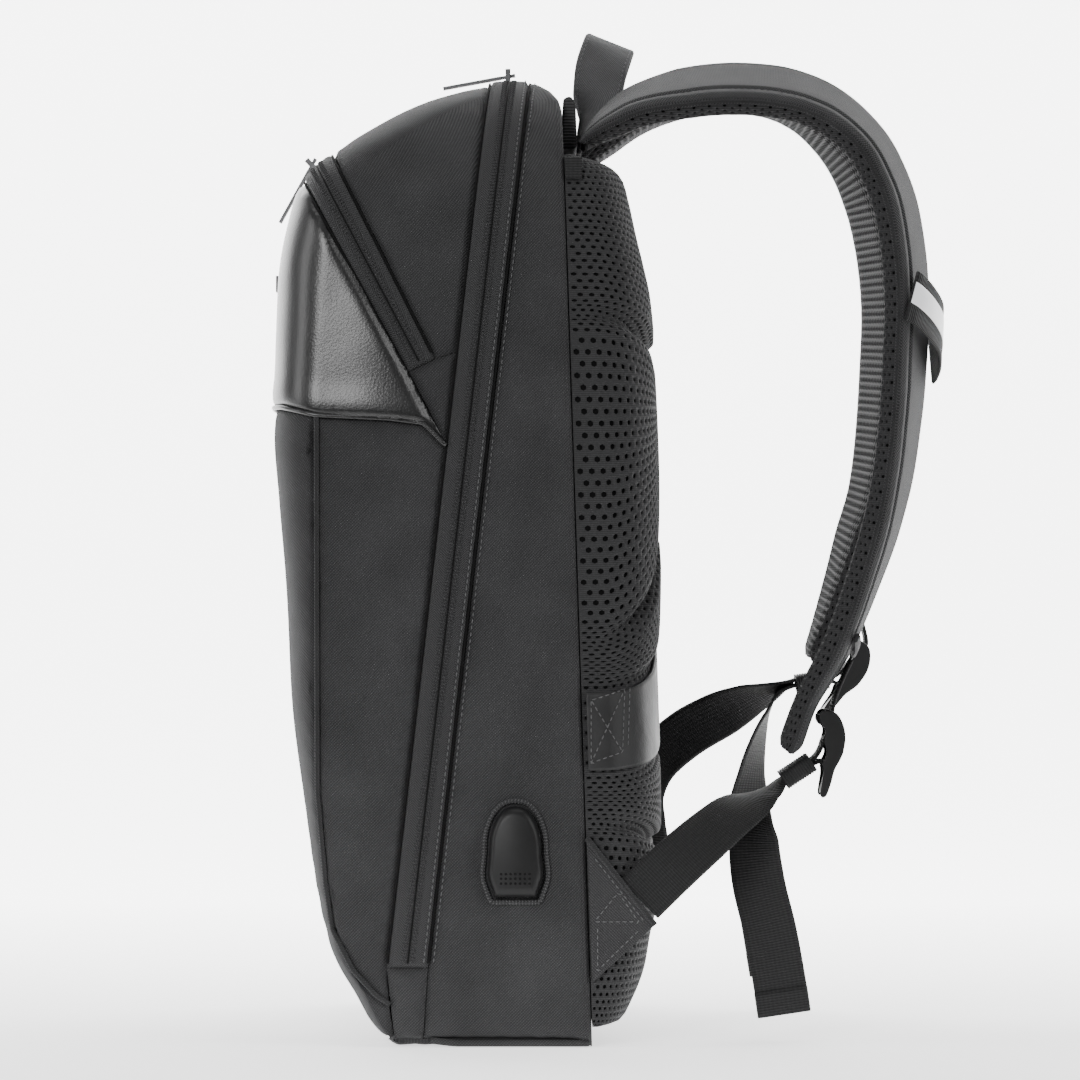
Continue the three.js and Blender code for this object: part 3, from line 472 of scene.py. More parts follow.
def webbing_look(light=0.014):
    look = Look("webbing", 0.72, sheen=0.03, specular=0.2)
    ribs = look.wave(look.along, 1.25)
    lines = look.wave(look.across, 2.1)
    threads = look.noise(0.6, 2)
    tone = look.math("MULTIPLY_ADD", ribs, 0.5, look.math("MULTIPLY_ADD", lines, 0.2,
                     look.math("MULTIPLY", threads, 0.35)))
    look.colour(tone, grey(light * 0.35), grey(light * 1.35))
    look.rough(threads, 0.62, 0.8)
    look.relief((ribs, 0.24), (lines, 0.1))
    return look.material


def plastic_look(light=0.008):
    look = Look("plastic", 0.42, specular=0.25)
    grain = look.noise(0.45, 3)
    soft = look.noise(9, 2)
    look.colour(soft, grey(light * 0.75), grey(light * 1.2))
    look.rough(grain, 0.34, 0.5)
    look.relief((grain, 0.03),)
    return look.material


def metal_look():
    look = Look("gunmetal", 0.38, metallic=0.85)
    brushed = look.noise(0.5, 4)
    soft = look.noise(6, 2)
    look.colour(soft, grey(0.055), grey(0.1))
    look.rough(brushed, 0.3, 0.46)
    look.relief((brushed, 0.02),)
    return look.material


def stripe_look():
    look = Look("reflective_stripe", 0.45)
    beads_of_glass = look.cells(0.5)
    soft = look.noise(7, 3)
    look.colour(soft, grey(0.78, 1.02), grey(0.92, 1.02))
    look.rough(soft, 0.3, 0.46)
    look.relief((beads_of_glass, 0.03),)
    return look.material


def thread_look():
    look = Look("thread", 0.62, sheen=0.1)
    twist = look.noise(0.5, 2)
    look.colour(twist, grey(0.03), grey(0.09))
    look.relief((twist, 0.05),)
    return look.material


TWILL = twill_look()
TAPE = tape_look()
LEATHER = leather_look()
BAND = band_look()
MESH = mesh_look()
FOAM_AND_SHADE = foam_and_shade_look()
WEBBING = webbing_look()
PLASTIC = plastic_look()
METAL = metal_look()
STRIPE = stripe_look()
THREAD = thread_look()
TWILL_FINE = twill_look("handle_twill", 0.07, 1.2)


# Body surface as a net of levels and columns

def level_heights():
    """Heights of the levels, close together wherever the surface runs flat."""
    fine = np.linspace(0, HEIGHT, 4000)
    moves = [np.diff(fine), np.diff(front_at(fine)), np.diff(half_width(fine))]
    run = np.concatenate([[0], np.cumsum(np.abs(moves).max(axis=0))])
    return np.interp(np.linspace(0, run[-1], int(run[-1] / GRID)), run, fine)


REAR_COLUMNS = 18
SIDE_COLUMNS = 60
ARC_COLUMNS = 18
FRONT_COLUMNS = 40
FRONT_BOW = 0.08


def half_sections(z):
    """Points [x, y] of half a section at each height, from the middle of the back to the front."""
    z = np.asarray(z, float)[:, None]
    front, rear, wide = front_at(z), rear_at(z), half_width(z)
    depth = np.minimum(corner_depth(z / HEIGHT), (rear - front) / 2)
    reach = np.minimum(CORNER_REACH, wide / 2)
    share = np.linspace(0, 1, REAR_COLUMNS)[None]
    x_rear = share * (wide - REAR_EDGE)
    turn = np.radians([30, 60, 90])[None]
    side = np.linspace(0, 1, SIDE_COLUMNS)[None, 1:]
    angle = np.radians(np.linspace(0, 90, ARC_COLUMNS))[None, 1:]
    inward = np.linspace(1, 0, FRONT_COLUMNS)[None, 1:]
    x = np.concatenate([
        x_rear, wide - REAR_EDGE + REAR_EDGE * np.sin(turn), wide + 0 * side,
        wide - reach + reach * np.cos(angle), (wide - reach) * inward], axis=1)
    low, high = front + depth, rear - REAR_EDGE
    y = np.concatenate([
        rear + 0 * x_rear, rear - REAR_EDGE + REAR_EDGE * np.cos(turn), high + (low - high) * side,
        low - (1 - FRONT_BOW) * depth * np.sin(angle),
        front + FRONT_BOW * depth * inward ** 2], axis=1)
    return x, y


def path_length(x, y):
    steps = np.hypot(np.diff(x, axis=1), np.diff(y, axis=1))
    return np.concatenate([np.zeros((len(x), 1)), np.cumsum(steps, axis=1)], axis=1)


def body_net():
    """The whole body as points, quads and weave."""
    z = level_heights()
    x, y = half_sections(z)
    run = path_length(x, y)
    side_run = np.where(z < TOP_CENTRE, z, TOP_CENTRE + TOP_RADIUS * np.arcsin(
        np.clip((z - TOP_CENTRE) / TOP_RADIUS, 0, 1)))
    front_run = np.concatenate([[0], np.cumsum(np.hypot(np.diff(z), np.diff(front_at(z))))])
    columns = x.shape[1]
    bend = np.clip((np.arange(columns) - REAR_COLUMNS - SIDE_COLUMNS) / ARC_COLUMNS, 0, 1)
    along = side_run[:, None] * (1 - bend) + front_run[:, None] * bend
    ring = np.concatenate([x, -x[:, -2:0:-1]], axis=1)
    ring_y = np.concatenate([y, y[:, -2:0:-1]], axis=1)
    ring_u = np.concatenate([run, -run[:, -2:0:-1]], axis=1)
    ring_v = np.concatenate([along, along[:, -2:0:-1]], axis=1)
    height = np.broadcast_to(z[:, None], ring.shape)

    def cap(level):
        middle = (ring_y[level].min() + ring_y[level].max()) / 2
        limit = np.abs(ring[level]).max() - 9
        spine = np.clip(ring[level], -limit, limit)
        made = []
        for share in (0.2, 0.4, 0.6, 0.8, 1):
            cx = ring[level] + (spine - ring[level]) * share
            cy = ring_y[level] + (middle - ring_y[level]) * share
            made.append(np.stack([cx, cy, height[level]], axis=1))
        return made

    rings = [np.stack([ring[k], ring_y[k], height[k]], axis=1) for k in range(len(z))]
    foot, top = cap(0)[::-1], cap(-1)
    rings = foot + rings + top
    weave = np.stack([ring_u, ring_v], axis=-1)
    weave = np.concatenate([weave[:1]] * 5 + [weave] + [weave[-1:]] * 5)
    points = np.concatenate(rings)
    size = ring.shape[1]
    return points, grid_faces(len(rings), size, True), weave.reshape(-1, 2)


# Seam lines of the side view, [y, z]
TOP = HEIGHT + 20
FRONT = -DEPTH
ZIP_HALF = 9.5
ZIP_LEAN = 0.1137
ZIP_FOOT_Y = -43.9
ZIP_END_Z = 37
WEDGE_TOP_Z = 322
LEATHER_TIP_Z = 279


def zip_at(z, side):
    return [ZIP_FOOT_Y + ZIP_LEAN * z + side * ZIP_HALF, z]


def board_at(z):
    return [float(rear_at(0) - (rear_at(0) - rear_at(430)) * (z / 430) - BOARD), z]


ZIP_FOOT = {"front": [-45.5, BOARD], "rear": [-32.4, BOARD]}
POCKET_FRONT = {"low": [-39.4, 313], "high": [-103.5, 430]}
POCKET_REAR = {"low": [-26.9, 319.2], "high": [-88, 440]}
LEATHER_EDGE = [[-32, 289.4], [-48, 291.5], [-82.4, 293.1]]
LEATHER_LIP = [[-98, 297], [FRONT, 297]]
SIDE_SEAM = [[-82, 119], [-78.2, 76], [-75, 54.6], [-65.3, 35.7], [-54.6, 24.1], [-48.2, 20]]
TIP = zip_at(LEATHER_TIP_Z, -1)

PANELS = {
    "base_panel": [[-DEPTH, -BOARD], [DEPTH, -BOARD], [DEPTH, BOARD], [-DEPTH, BOARD]],
    "back_panel": [board_at(BOARD), [DEPTH, BOARD], [DEPTH, TOP], board_at(TOP)],
    "gusset": [ZIP_FOOT["rear"], board_at(BOARD), board_at(TOP), zip_at(TOP, 1), zip_at(ZIP_END_Z, 1)],
    "main_zip_tape": [zip_at(ZIP_END_Z, -1), zip_at(ZIP_END_Z, 1), zip_at(TOP, 1), zip_at(TOP, -1)],
    "zip_end": [ZIP_FOOT["front"], ZIP_FOOT["rear"], zip_at(ZIP_END_Z, 1), zip_at(ZIP_END_Z, -1)],
    "lid_panel": [POCKET_REAR["low"], zip_at(WEDGE_TOP_Z, -1), zip_at(TOP, -1), [FRONT, TOP],
                  POCKET_REAR["high"]],
    "pocket_zip_tape": [POCKET_FRONT["low"], POCKET_REAR["low"], POCKET_REAR["high"],
                        POCKET_FRONT["high"]],
    "wedge": [TIP, zip_at(WEDGE_TOP_Z, -1), POCKET_REAR["low"], POCKET_FRONT["low"]],
    "leather_panel": [TIP, POCKET_FRONT["low"], POCKET_FRONT["high"], [FRONT, 430],
                      *LEATHER_LIP[::-1], *LEATHER_EDGE[::-1]],
    "front_side": [SIDE_SEAM[-1], zip_at(ZIP_END_Z, -1), TIP, *LEATHER_EDGE, *SIDE_SEAM[:-1]],
    "front_panel": [ZIP_FOOT["front"], *SIDE_SEAM[::-1], LEATHER_EDGE[2], *LEATHER_LIP,
                    [FRONT, BOARD]],
}


# Cuts alongside each seam, so that its groove is as sharp as the cloth's own
SEAM_STRIPS = (0, -1.3, 1.3, -3, 3)


def seam_segments():
    """Each side of each panel once, as a pair of ends."""
    seen = {}
    for outline in PANELS.values():
        for a, b in zip(outline, outline[1:] + outline[:1]):
            key = tuple(sorted([tuple(np.round(a, 1)), tuple(np.round(b, 1))]))
            seen[key] = (a, b)
    return list(seen.values())


def cut_body():
    """The body net with every seam line cut into it, as arrays."""
    points, faces, weave = body_net()
    bm = bmesh.new()
    layer = bm.verts.layers.float_vector.new("weave")
    verts = [bm.verts.new(p) for p in points.tolist()]
    for vert, (u, v) in zip(verts, weave.tolist()):
        vert[layer] = (u, v, 0)
    for face in faces:
        bm.faces.new([verts[i] for i in face])
    bmesh.ops.remove_doubles(bm, verts=bm.verts, dist=1e-3)
    bmesh.ops.dissolve_degenerate(bm, edges=bm.edges, dist=1e-4)
    bmesh.ops.recalc_face_normals(bm, faces=bm.faces)
    for a, b in seam_segments():
        a, b = np.array(a, float), np.array(b, float)
        low, high = np.minimum(a, b) - 4, np.maximum(a, b) + 4
        near = [f for f in bm.faces if all(
            low[k] <= f.verts[0].co[k + 1] <= high[k] for k in (0, 1))]
        if not near:
            continue
        geometry = [*{v for f in near for v in f.verts}, *{e for f in near for e in f.edges}, *near]
        normal = unit(np.array([0, -(b - a)[1], (b - a)[0]]))
        for shift in SEAM_STRIPS:
            place = np.array([0, *a]) + normal * shift
            geometry = bmesh.ops.bisect_plane(
                bm, geom=geometry, dist=1e-3, plane_co=place, plane_no=normal)["geom"]
    bm.normal_update()
    bm.verts.index_update()
    co = np.array([v.co for v in bm.verts])
    normals = np.array([v.normal for v in bm.verts])
    woven = np.array([v[layer] for v in bm.verts])[:, :2]
    polygons = [[v.index for v in f.verts] for f in bm.faces]
    centres = np.array([f.calc_center_median() for f in bm.faces])
    bm.free()
    return co, normals, woven, polygons, centres


def inside(outline, y, z):
    """Which points of the side view lie in an outline."""
    result = np.zeros(len(y), bool)
    for (ay, az), (by, bz) in zip(outline, outline[1:] + outline[:1]):
        crosses = (az > z) != (bz > z)
        at = ay + (z - az) * (by - ay) / (bz - az if bz != az else 1e-9)
        result ^= crosses & (y < at)
    return result


def distance_to(line, y, z):
    """Distance in the side view from points to a line of several stretches."""
    best = np.full(len(y), 1e9)
    for a, b in zip(line, line[1:]):
        a, b = np.array(a, float), np.array(b, float)
        run = b - a
        t = np.clip(((y - a[0]) * run[0] + (z - a[1]) * run[1]) / (run @ run), 0, 1)
        best = np.minimum(best, np.hypot(y - a[0] - t * run[0], z - a[1] - t * run[1]))
    return best


SEAM_DIP = 1.5
SEAM_WIDTH = 1.7
SOFT_DIP = 0.8
SOFT_WIDTH = 9
PORT_Y = 10.4
PORT_Z = 91


def cloth_offset(outline, points):
    """How far a cloth panel stands out from the body: sunk at its seams, slightly uneven."""
    y, z = points[:, 1], points[:, 2]
    d = distance_to([*outline, outline[0]], y, z)
    puckers = 0.22 * np.sin((y + z) * 0.55) * bell(d - 3, 3)
    around_port = np.hypot((y - PORT_Y) / 17, (z - PORT_Z) / 27)
    port_dip = -0.9 * bell(around_port - 1, 0.22) * (points[:, 0] > 0)
    from_rear = 1 - bell(rear_at(z) - y, 7)
    sunk = SEAM_DIP * bell(d, SEAM_WIDTH) + SOFT_DIP * bell(d, SOFT_WIDTH)
    return (puckers - sunk) * from_rear + port_dip + 0.5 * ripple(points, 130) * from_rear


def tape_offset(outline, points):
    """Zip tape: proud of the cloth and tucked in along its edges."""
    y, z = points[:, 1], points[:, 2]
    edge = distance_to([*outline, outline[0]], y, z)
    return 0.7 - 2.2 * bell(edge, 1.1)


# The leather's side faces are fullest near this place of the side view
LEATHER_FULL = 3.2
LEATHER_FULL_Y = -52


def leather_offset(outline, points):
    """Stuffed leather: sunk under the zip, full above its rolled lip, with soft dents."""
    y, z = points[:, 1], points[:, 2]
    zip_edge = distance_to([TIP, POCKET_FRONT["low"], POCKET_FRONT["high"]], y, z)
    lip = distance_to([TIP, *LEATHER_EDGE, *LEATHER_LIP], y, z)
    dents = 0.6 * ripple(points, 130) + 0.12 * ripple(points, 40)
    fold = -1.6 * bell(np.hypot((y + 80) / 7, (z - 393) / 4), 1)
    full = LEATHER_FULL * bell((y - LEATHER_FULL_Y) / 26, 1) * bell((z - 312) / 85, 1)
    full *= np.abs(points[:, 0]) / HALF_WIDTH
    return (0.2 + full - 2.2 * bell(zip_edge, 2.6) + 0.8 * bell(lip - 6, 6) - 1.2 * bell(lip, 1.6)
            + (dents + fold) * (1 - bell(lip, 8)))


# No outer face of a panel lies lower than this
FOOT_LIFT = 0.55


def panel_shape(net, outline, side, offset):
    """The part of the body inside an outline; side 0 is both, 1 near, -1 far."""
    co, normals, woven, polygons, centres = net
    chosen = inside(outline, centres[:, 1], centres[:, 2])
    if side:
        chosen &= centres[:, 0] * side > 0
    faces = [polygons[i] for i in np.flatnonzero(chosen)]
    used = sorted({i for face in faces for i in face})
    where = {old: new for new, old in enumerate(used)}
    points = co[used] + normals[used] * offset(outline, co[used])[:, None]
    points[:, 2] = np.maximum(points[:, 2], FOOT_LIFT)
    return points, [[where[i] for i in face] for face in faces], woven[used]


PANEL_FINISH = {
    "main_zip_tape": (tape_offset, TAPE, "zip_tape"),
    "pocket_zip_tape": (tape_offset, TAPE, "zip_tape"),
    "leather_panel": (leather_offset, LEATHER, "leather"),
}
PAIRED_PANELS = ("zip_end", "wedge", "front_side")
ZIP_END_PROUD = 0.9
# Beyond this x the pocket's zip runs down the side of the bag
POCKET_TURN_X = 100


def tape_weave(name, points, weave):
    """Places across and along a zip tape, in millimetres."""
    if name == "main_zip_tape":
        across = points[:, 1] - ZIP_FOOT_Y - ZIP_LEAN * points[:, 2]
        along = weave[:, 1] + np.maximum(0, HALF_WIDTH - TOP_RADIUS - np.abs(points[:, 0]))
        return np.column_stack([across, along])
    start = np.array(POCKET_FRONT["low"], float)
    run = unit(np.array(POCKET_FRONT["high"], float) - start)
    place = points[:, 1:] - start
    across = place[:, 0] * run[1] - place[:, 1] * run[0]
    along = np.where(np.abs(points[:, 0]) > POCKET_TURN_X, place @ run, points[:, 0])
    return np.column_stack([across, along])


def body_panels():
    net = cut_body()
    for name, outline in PANELS.items():
        offset, look, slot = PANEL_FINISH.get(name, (cloth_offset, TWILL, "twill"))
        sides = ((1, "_near"), (-1, "_far")) if name in PAIRED_PANELS else ((0, ""),)
        for side, word in sides:
            points, faces, weave = panel_shape(net, outline, side, offset)
            if name == "zip_end":
                points = points + [side * ZIP_END_PROUD, 0, 0]
            if look is TAPE:
                weave = tape_weave(name, points, weave)
            piece = make(f"{name}{word}_skin", (points, faces, weave), look, nodes=[name + word])
            thicken(piece, CLOTH)


# Lines over the body

def zip_loop(shift, lift):
    """Line along the main zip, over the top and down the far side, with outward directions."""
    heights = np.concatenate([
        np.arange(ZIP_END_Z + 2, TOP_CENTRE, 3),
        TOP_CENTRE + TOP_RADIUS * np.sin(np.radians(np.linspace(0, 90, 60)))])
    near = np.column_stack([
        half_width(heights), ZIP_FOOT_Y + ZIP_LEAN * heights + shift, heights])
    out = np.zeros_like(near)
    rise = np.clip((heights - TOP_CENTRE) / TOP_RADIUS, 0, 1)
    out[:, 0] = np.sqrt(1 - rise ** 2)
    out[:, 2] = rise
    path = np.concatenate([near, near[::-1] * [-1, 1, 1]])
    outward = np.concatenate([out, out[::-1] * [-1, 1, 1]])
    return path + outward * lift, outward


def even_stations(path, outward, pitch):
    """Centres, directions and outward directions at an even pitch along a line."""
    both = resample_with(path, outward, pitch)
    centres, normals = both[:, :3], unit(both[:, 3:])
    return centres, unit(np.gradient(centres, axis=0)), normals


def resample_with(path, extra, step):
    run = np.concatenate([[0], np.cumsum(np.linalg.norm(np.diff(path, axis=0), axis=1))])
    at = np.arange(step / 2, run[-1], step)
    table = np.concatenate([path, extra], axis=1)
    return np.stack([np.interp(at, run, column) for column in table.T], axis=1)


def cross_line(line_from, line_to, lift):
    """Line where a slanting cut of the side view crosses the body, near side to far side."""
    z = np.linspace(line_from[1], line_to[1], 900)
    y_line = np.interp(z, [line_from[1], line_to[1]], [line_from[0], line_to[0]])
    x, y = half_sections(z)
    found = []
    for column in range(REAR_COLUMNS + 3, x.shape[1]):
        gap = y[:, column] - y_line
        change = np.flatnonzero(gap[:-1] * gap[1:] <= 0)
        if len(change):
            k = change[0]
            found.append([x[k, column], y[k, column], z[k]])
    near = np.array(found)
    path = resample(np.concatenate([near, near[-2::-1] * [-1, 1, 1]]), 2.5)
    ahead = np.gradient(path, axis=0)
    slope = np.array([0, line_to[1] - line_from[1], line_from[0] - line_to[0]], float)
    outward = unit(np.cross(ahead, unit(-slope)))
    flip = np.sign(outward @ [0, -1, 0.3] + outward[:, 0] * np.sign(path[:, 0]))
    outward *= flip[:, None]
    return path + outward * lift, outward


TOOTH = {"pitch": 1.6, "size": (1.15, 2.9, 1.0), "shift": 1.9, "lift": 0.75}
SLIT_RADIUS = 0.4
STITCH = {"pitch": 3.1, "size": (2.2, 0.62, 0.55)}


# Near-black lines of painted shade in the grooves along a tape's edges: height over the body and radius
EDGE_LINE = {"lift": -0.6, "radius": 0.55}


def coil(name, path_at, half):
    """Two rows of covered coil ridges, with painted shade as near-black lines: one in the slit between them
    and one sunk along each edge of the tape.
    """
    shapes = []
    for side in (-1, 1):
        path, outward = path_at(side * TOOTH["shift"], TOOTH["lift"])
        centres, along, normals = even_stations(path, outward, TOOTH["pitch"])
        shapes.append(beads(centres, along, normals, TOOTH["size"]))
    make(name, joined(shapes), TAPE)
    # Painted shade: a near-black line down the slit between the coil rows
    path, _ = path_at(0, TOOTH["lift"])
    make(name + "_slit", tube(resample(path, 3), SLIT_RADIUS, 6), FOAM_AND_SHADE)
    # Painted shade: near-black lines sunk into the grooves along the tape's edges
    edges = [tube(resample(path_at(side * half, EDGE_LINE["lift"])[0], 3), EDGE_LINE["radius"], 6)
             for side in (-1, 1)]
    make(name + "_edges", joined(edges), FOAM_AND_SHADE)


POCKET_ZIP_HALF = 7


def pocket_loop(shift, lift):
    share = 0.5 + shift / (2 * POCKET_ZIP_HALF)
    ends = [[a + (b - a) * share for a, b in zip(POCKET_FRONT[key], POCKET_REAR[key])]
            for key in ("low", "high")]
    return cross_line(ends[0], ends[1], lift)


# Stitch rows beside the main zip: distance past the tape's edge, and height over the body
ZIP_STITCH_ROWS = ((-2.1, 0.95), (2.4, -0.4))


def zips():
    coil("main_zip_coil", zip_loop, ZIP_HALF)
    coil("pocket_zip_coil", pocket_loop, POCKET_ZIP_HALF)
    rows = [zip_loop(ZIP_HALF + shift, lift) for shift, lift in ZIP_STITCH_ROWS]
    shapes = [beads(*even_stations(path, outward, STITCH["pitch"]), STITCH["size"])
              for path, outward in rows]
    make("main_zip_stitches", joined(shapes), THREAD)


def side_point(y, z):
    """Place on the near side of the body seen at a point of the side view."""
    front, wide = front_at(z), half_width(z)
    depth = np.minimum(corner_depth(z / HEIGHT), (rear_at(z) - front) / 2)
    reach = np.minimum(CORNER_REACH, wide / 2)
    turn = np.clip((front + depth - y) / ((1 - FRONT_BOW) * depth), 0, 1)
    return np.column_stack([wide - reach + reach * np.sqrt(1 - turn ** 2), y, z])


def piping():
    """Round welts in the seams of the front and along the base."""
    seam = resample([LEATHER_EDGE[2], *SIDE_SEAM], 3)
    line = side_point(seam[:, 0], seam[:, 1])
    line[:, 1] += 0.6
    welt = tube(line + [-0.2, 0, 0], 1.25)
    make("front_seam_piping", joined([welt, mirrored(welt)]), TWILL)
    x, y = half_sections([2.2])
    ring = np.column_stack([x[0], y[0], np.full(len(x[0]), 2.0)])
    ring = ring[(ring[:, 1] > -30) & (ring[:, 1] < rear_at(0) - 1)]
    rise = np.clip(-ring[:, 1] - 18, 0, None) * 0.12
    ring[:, 2] += rise
    welt = tube(resample(ring, 4), 1.7)
    make("base_piping", joined([welt, mirrored(welt)]), TWILL)


def leather_lip():
    """Rolled lower edge of the leather, from one tip over the front to the other."""
    x, y = half_sections([296.0])
    edge = np.array([TIP, *LEATHER_EDGE, *LEATHER_LIP])[::-1]
    order = np.argsort(edge[:, 0])
    z = np.interp(y[0], edge[order, 0], edge[order, 1])
    keep = (y[0] < TIP[0]) & (np.arange(len(y[0])) > REAR_COLUMNS + 3)
    near = np.column_stack([x[0], y[0], z])[keep]
    near = np.concatenate([side_point(np.array([TIP[0]]), np.array([TIP[1]])), near])
    path = np.concatenate([near, near[-2::-1] * [-1, 1, 1]])
    outward = unit(path * [1, 1, 0] * [0.5, 1, 0])
    make("leather_lip", tube(resample(path + outward * 0.4, 2.5), 1.2, 10), LEATHER)


# Back pads: rows from the foot up give the height at the side and at the ridge, and the rise.
PAD_ROWS = np.array([
    (9, 7, 0.06), (11, 10, 0.34), (20, 20.7, 0.51), (34, 34, 0.65), (50, 49, 0.73),
    (70, 65, 0.83), (97, 84, 0.87), (104, 91.6, 0.68), (111, 99, 0.9), (120, 131, 0.915),
    (125, 139, 0.855), (167, 187, 0.855), (171, 194, 0.95), (181, 232, 1), (187.7, 242, 0.78),
    (196, 252, 0.99), (245, 278, 1.015), (333, 311, 1), (341, 320, 0.78), (349, 329, 1),
    (362, 346, 0.975), (374, 361, 0.91), (386, 377, 0.83), (398, 393, 0.76), (406, 404.7, 0.69),
    (410, 411, 0.55), (413, 415, 0.3), (415, 417, 0.05)])
# Columns from the side to the middle of the back: shares of the width and of the rise
PAD_COLUMNS = np.array([
    (0, 0), (0.003, 0.3), (0.035, 0.56), (0.115, 0.8), (0.25, 0.95), (0.44, 1), (0.63, 0.955),
    (0.81, 0.8), (0.93, 0.5), (1, 0.18), (1, 0)])


def slant_at(side, ridge, x):
    slope = (side - ridge) / (HALF_WIDTH - PAD_RIDGE_X)
    return ridge + (x - PAD_RIDGE_X) * slope * np.where(x > PAD_RIDGE_X, 1, PAD_SLANT)


pad_side, pad_ridge, pad_rise = (
    smooth_curve(np.arange(len(PAD_ROWS)), column) for column in PAD_ROWS.T)
pad_across, pad_lift = (
    smooth_curve(np.arange(len(PAD_COLUMNS)), column) for column in PAD_COLUMNS.T)


def pad_surface(row, column, sink=0.0):
    """Points of the near pad at table rows and columns, sunk by a depth."""
    side, ridge, rise = pad_side(row), pad_ridge(row), pad_rise(row)
    edge = half_width(side) - PAD_SIDE_INSET - sink
    x = edge + (PAD_INNER_X + sink - edge) * pad_across(column)
    z = slant_at(side, ridge, x)
    high = np.maximum(pad_lift(column) * rise * PAD_HEIGHT - sink * (pad_lift(column) > 0.01), 0)
    return np.stack([x, rear_at(z) + GAP + high, z], axis=-1)


def even_rows(surface, low, high, count, fixed, by_row=True):
    """Table places of equal steps along a surface's middle line."""
    fine = np.linspace(low, high, 1500)
    line = surface(fine, fixed) if by_row else surface(fixed, fine)
    run = np.concatenate([[0], np.cumsum(np.linalg.norm(np.diff(line, axis=0), axis=1))])
    return np.interp(np.linspace(0, run[-1], count), run, fine), run[-1]


def air_mesh(surface, rows, columns, hole_at, deep):
    """Cloth with rows of six-sided holes. Rows and columns are table places at half-cell steps,
    and the holes go in along the surface's own normal, or against it if `deep` is negative."""
    cell_rows, lines = len(rows) - 1, len(columns)
    grid = surface(rows[:, None] + 0 * columns[None], columns[None] + 0 * rows[:, None])
    below = unit_normals(grid)
    points, faces = [grid.reshape(-1, 3)], []
    count = grid.shape[0] * lines
    ring = np.array([(-0.9, -0.5), (0, -1), (0.9, -0.5), (0.9, 0.5), (0, 1), (-0.9, 0.5)])
    for k in range(cell_rows):
        start = k % 2
        middle = (rows[k] + rows[k + 1]) / 2
        half_row = (rows[k + 1] - rows[k]) / 2
        if start:
            faces += [[k * lines + i, k * lines + i + 1, (k + 1) * lines + i + 1, (k + 1) * lines + i]
                      for i in (0, lines - 2)]
        for left in range(start, lines - 2, 2):
            centre = (columns[left] + columns[left + 2]) / 2
            half_column = (columns[left + 2] - columns[left]) / 2
            size = hole_at(middle, centre)
            corners = [k * lines + left, k * lines + left + 1, k * lines + left + 2,
                       (k + 1) * lines + left + 2, (k + 1) * lines + left + 1, (k + 1) * lines + left]
            at_row = middle + ring[:, 1] * half_row * size
            at_column = centre + ring[:, 0] * half_column * size
            rim = surface(at_row, at_column)
            normal = below[k, left + 1]
            points += [rim - normal * 0.2 * deep, rim - normal * deep]
            base = count
            count += 12
            for i in range(6):
                j = (i + 1) % 6
                faces.append([corners[i], corners[j], base + j, base + i])
                faces.append([base + i, base + j, base + 6 + j, base + 6 + i])
    flat = np.concatenate(points)
    weave = np.zeros((len(flat), 2))
    weave[:, 0], weave[:, 1] = flat[:, 0], flat[:, 2]
    return flat, faces, weave


def unit_normals(grid):
    along, across = np.gradient(grid, axis=0), np.gradient(grid, axis=1)
    return unit(np.cross(across, along))


def pad_holes(row, column):
    """Holes are widest on the side face, and finer over the ridge."""
    return 0.54 if column < 2.6 else 0.46


def pad_foam(sink):
    rows = np.arange(0.6, len(PAD_ROWS) - 1.5, 0.25)
    columns = np.arange(0, len(PAD_COLUMNS) - 0.99, 0.25)
    return loft([pad_surface(np.full(len(columns), r), columns, sink) for r in rows])


# A point inside the near pad
PAD_MIDDLE = (75, 30, 200)


def back_pads():
    middle_column, last_row = 4.0, len(PAD_ROWS) - 1
    _, length = even_rows(pad_surface, 0, last_row, 10, middle_column)
    rows, _ = even_rows(pad_surface, 0.35, last_row - 0.35, int(length / (MESH_PITCH * 0.87)), middle_column)
    columns, _ = even_rows(pad_surface, 0, len(PAD_COLUMNS) - 1, 77, 5.0, by_row=False)
    cloth = air_mesh(pad_surface, rows, columns, pad_holes, MESH_DEEP)
    cloth = outward_faces(cloth, PAD_MIDDLE)
    foam = pad_foam(MESH_DEEP)
    for side in ("near", "far"):
        skin = make(f"back_pad_{side}_mesh", on_side(side, cloth), MESH,
                    nodes=[f"back_pad_{side}"])
        make(f"back_pad_{side}_foam", on_side(side, foam), FOAM_AND_SHADE)


def outward_faces(shape, centre):
    """Turns the faces of an open skin so that they look away from a point."""
    points, faces, weave = shape
    sample = faces[:: max(1, len(faces) // 400)]
    facing = 0
    for face in sample:
        a, b, c = (points[i] for i in face[:3])
        facing += np.sign(np.cross(b - a, c - b) @ (a - centre))
    return (points, faces if facing > 0 else [face[::-1] for face in faces], weave)


# Stations along a smooth line through points, each with its width direction

def curve_point(points, t):
    count = len(points)
    place = (count - 1) * t
    i = min(int(math.floor(place)), count - 2)
    i = max(i, 0)
    w = place - i
    p1, p2 = points[i], points[i + 1]
    p0 = points[i - 1] if i > 0 else 2 * p1 - p2
    p3 = points[i + 2] if i + 2 < count else 2 * p2 - p1
    d0, d1, d2 = (math.sqrt(max(np.linalg.norm(b - a), 1e-8)) for a, b in ((p0, p1), (p1, p2), (p2, p3)))
    m1 = ((p1 - p0) / d0 - (p2 - p0) / (d0 + d1) + (p2 - p1) / d1) * d1
    m2 = ((p2 - p1) / d1 - (p3 - p1) / (d1 + d2) + (p3 - p2) / d2) * d1
    return p1 + m1 * w + (3 * (p2 - p1) - 2 * m1 - m2) * w * w + (2 * (p1 - p2) + m1 + m2) * w ** 3


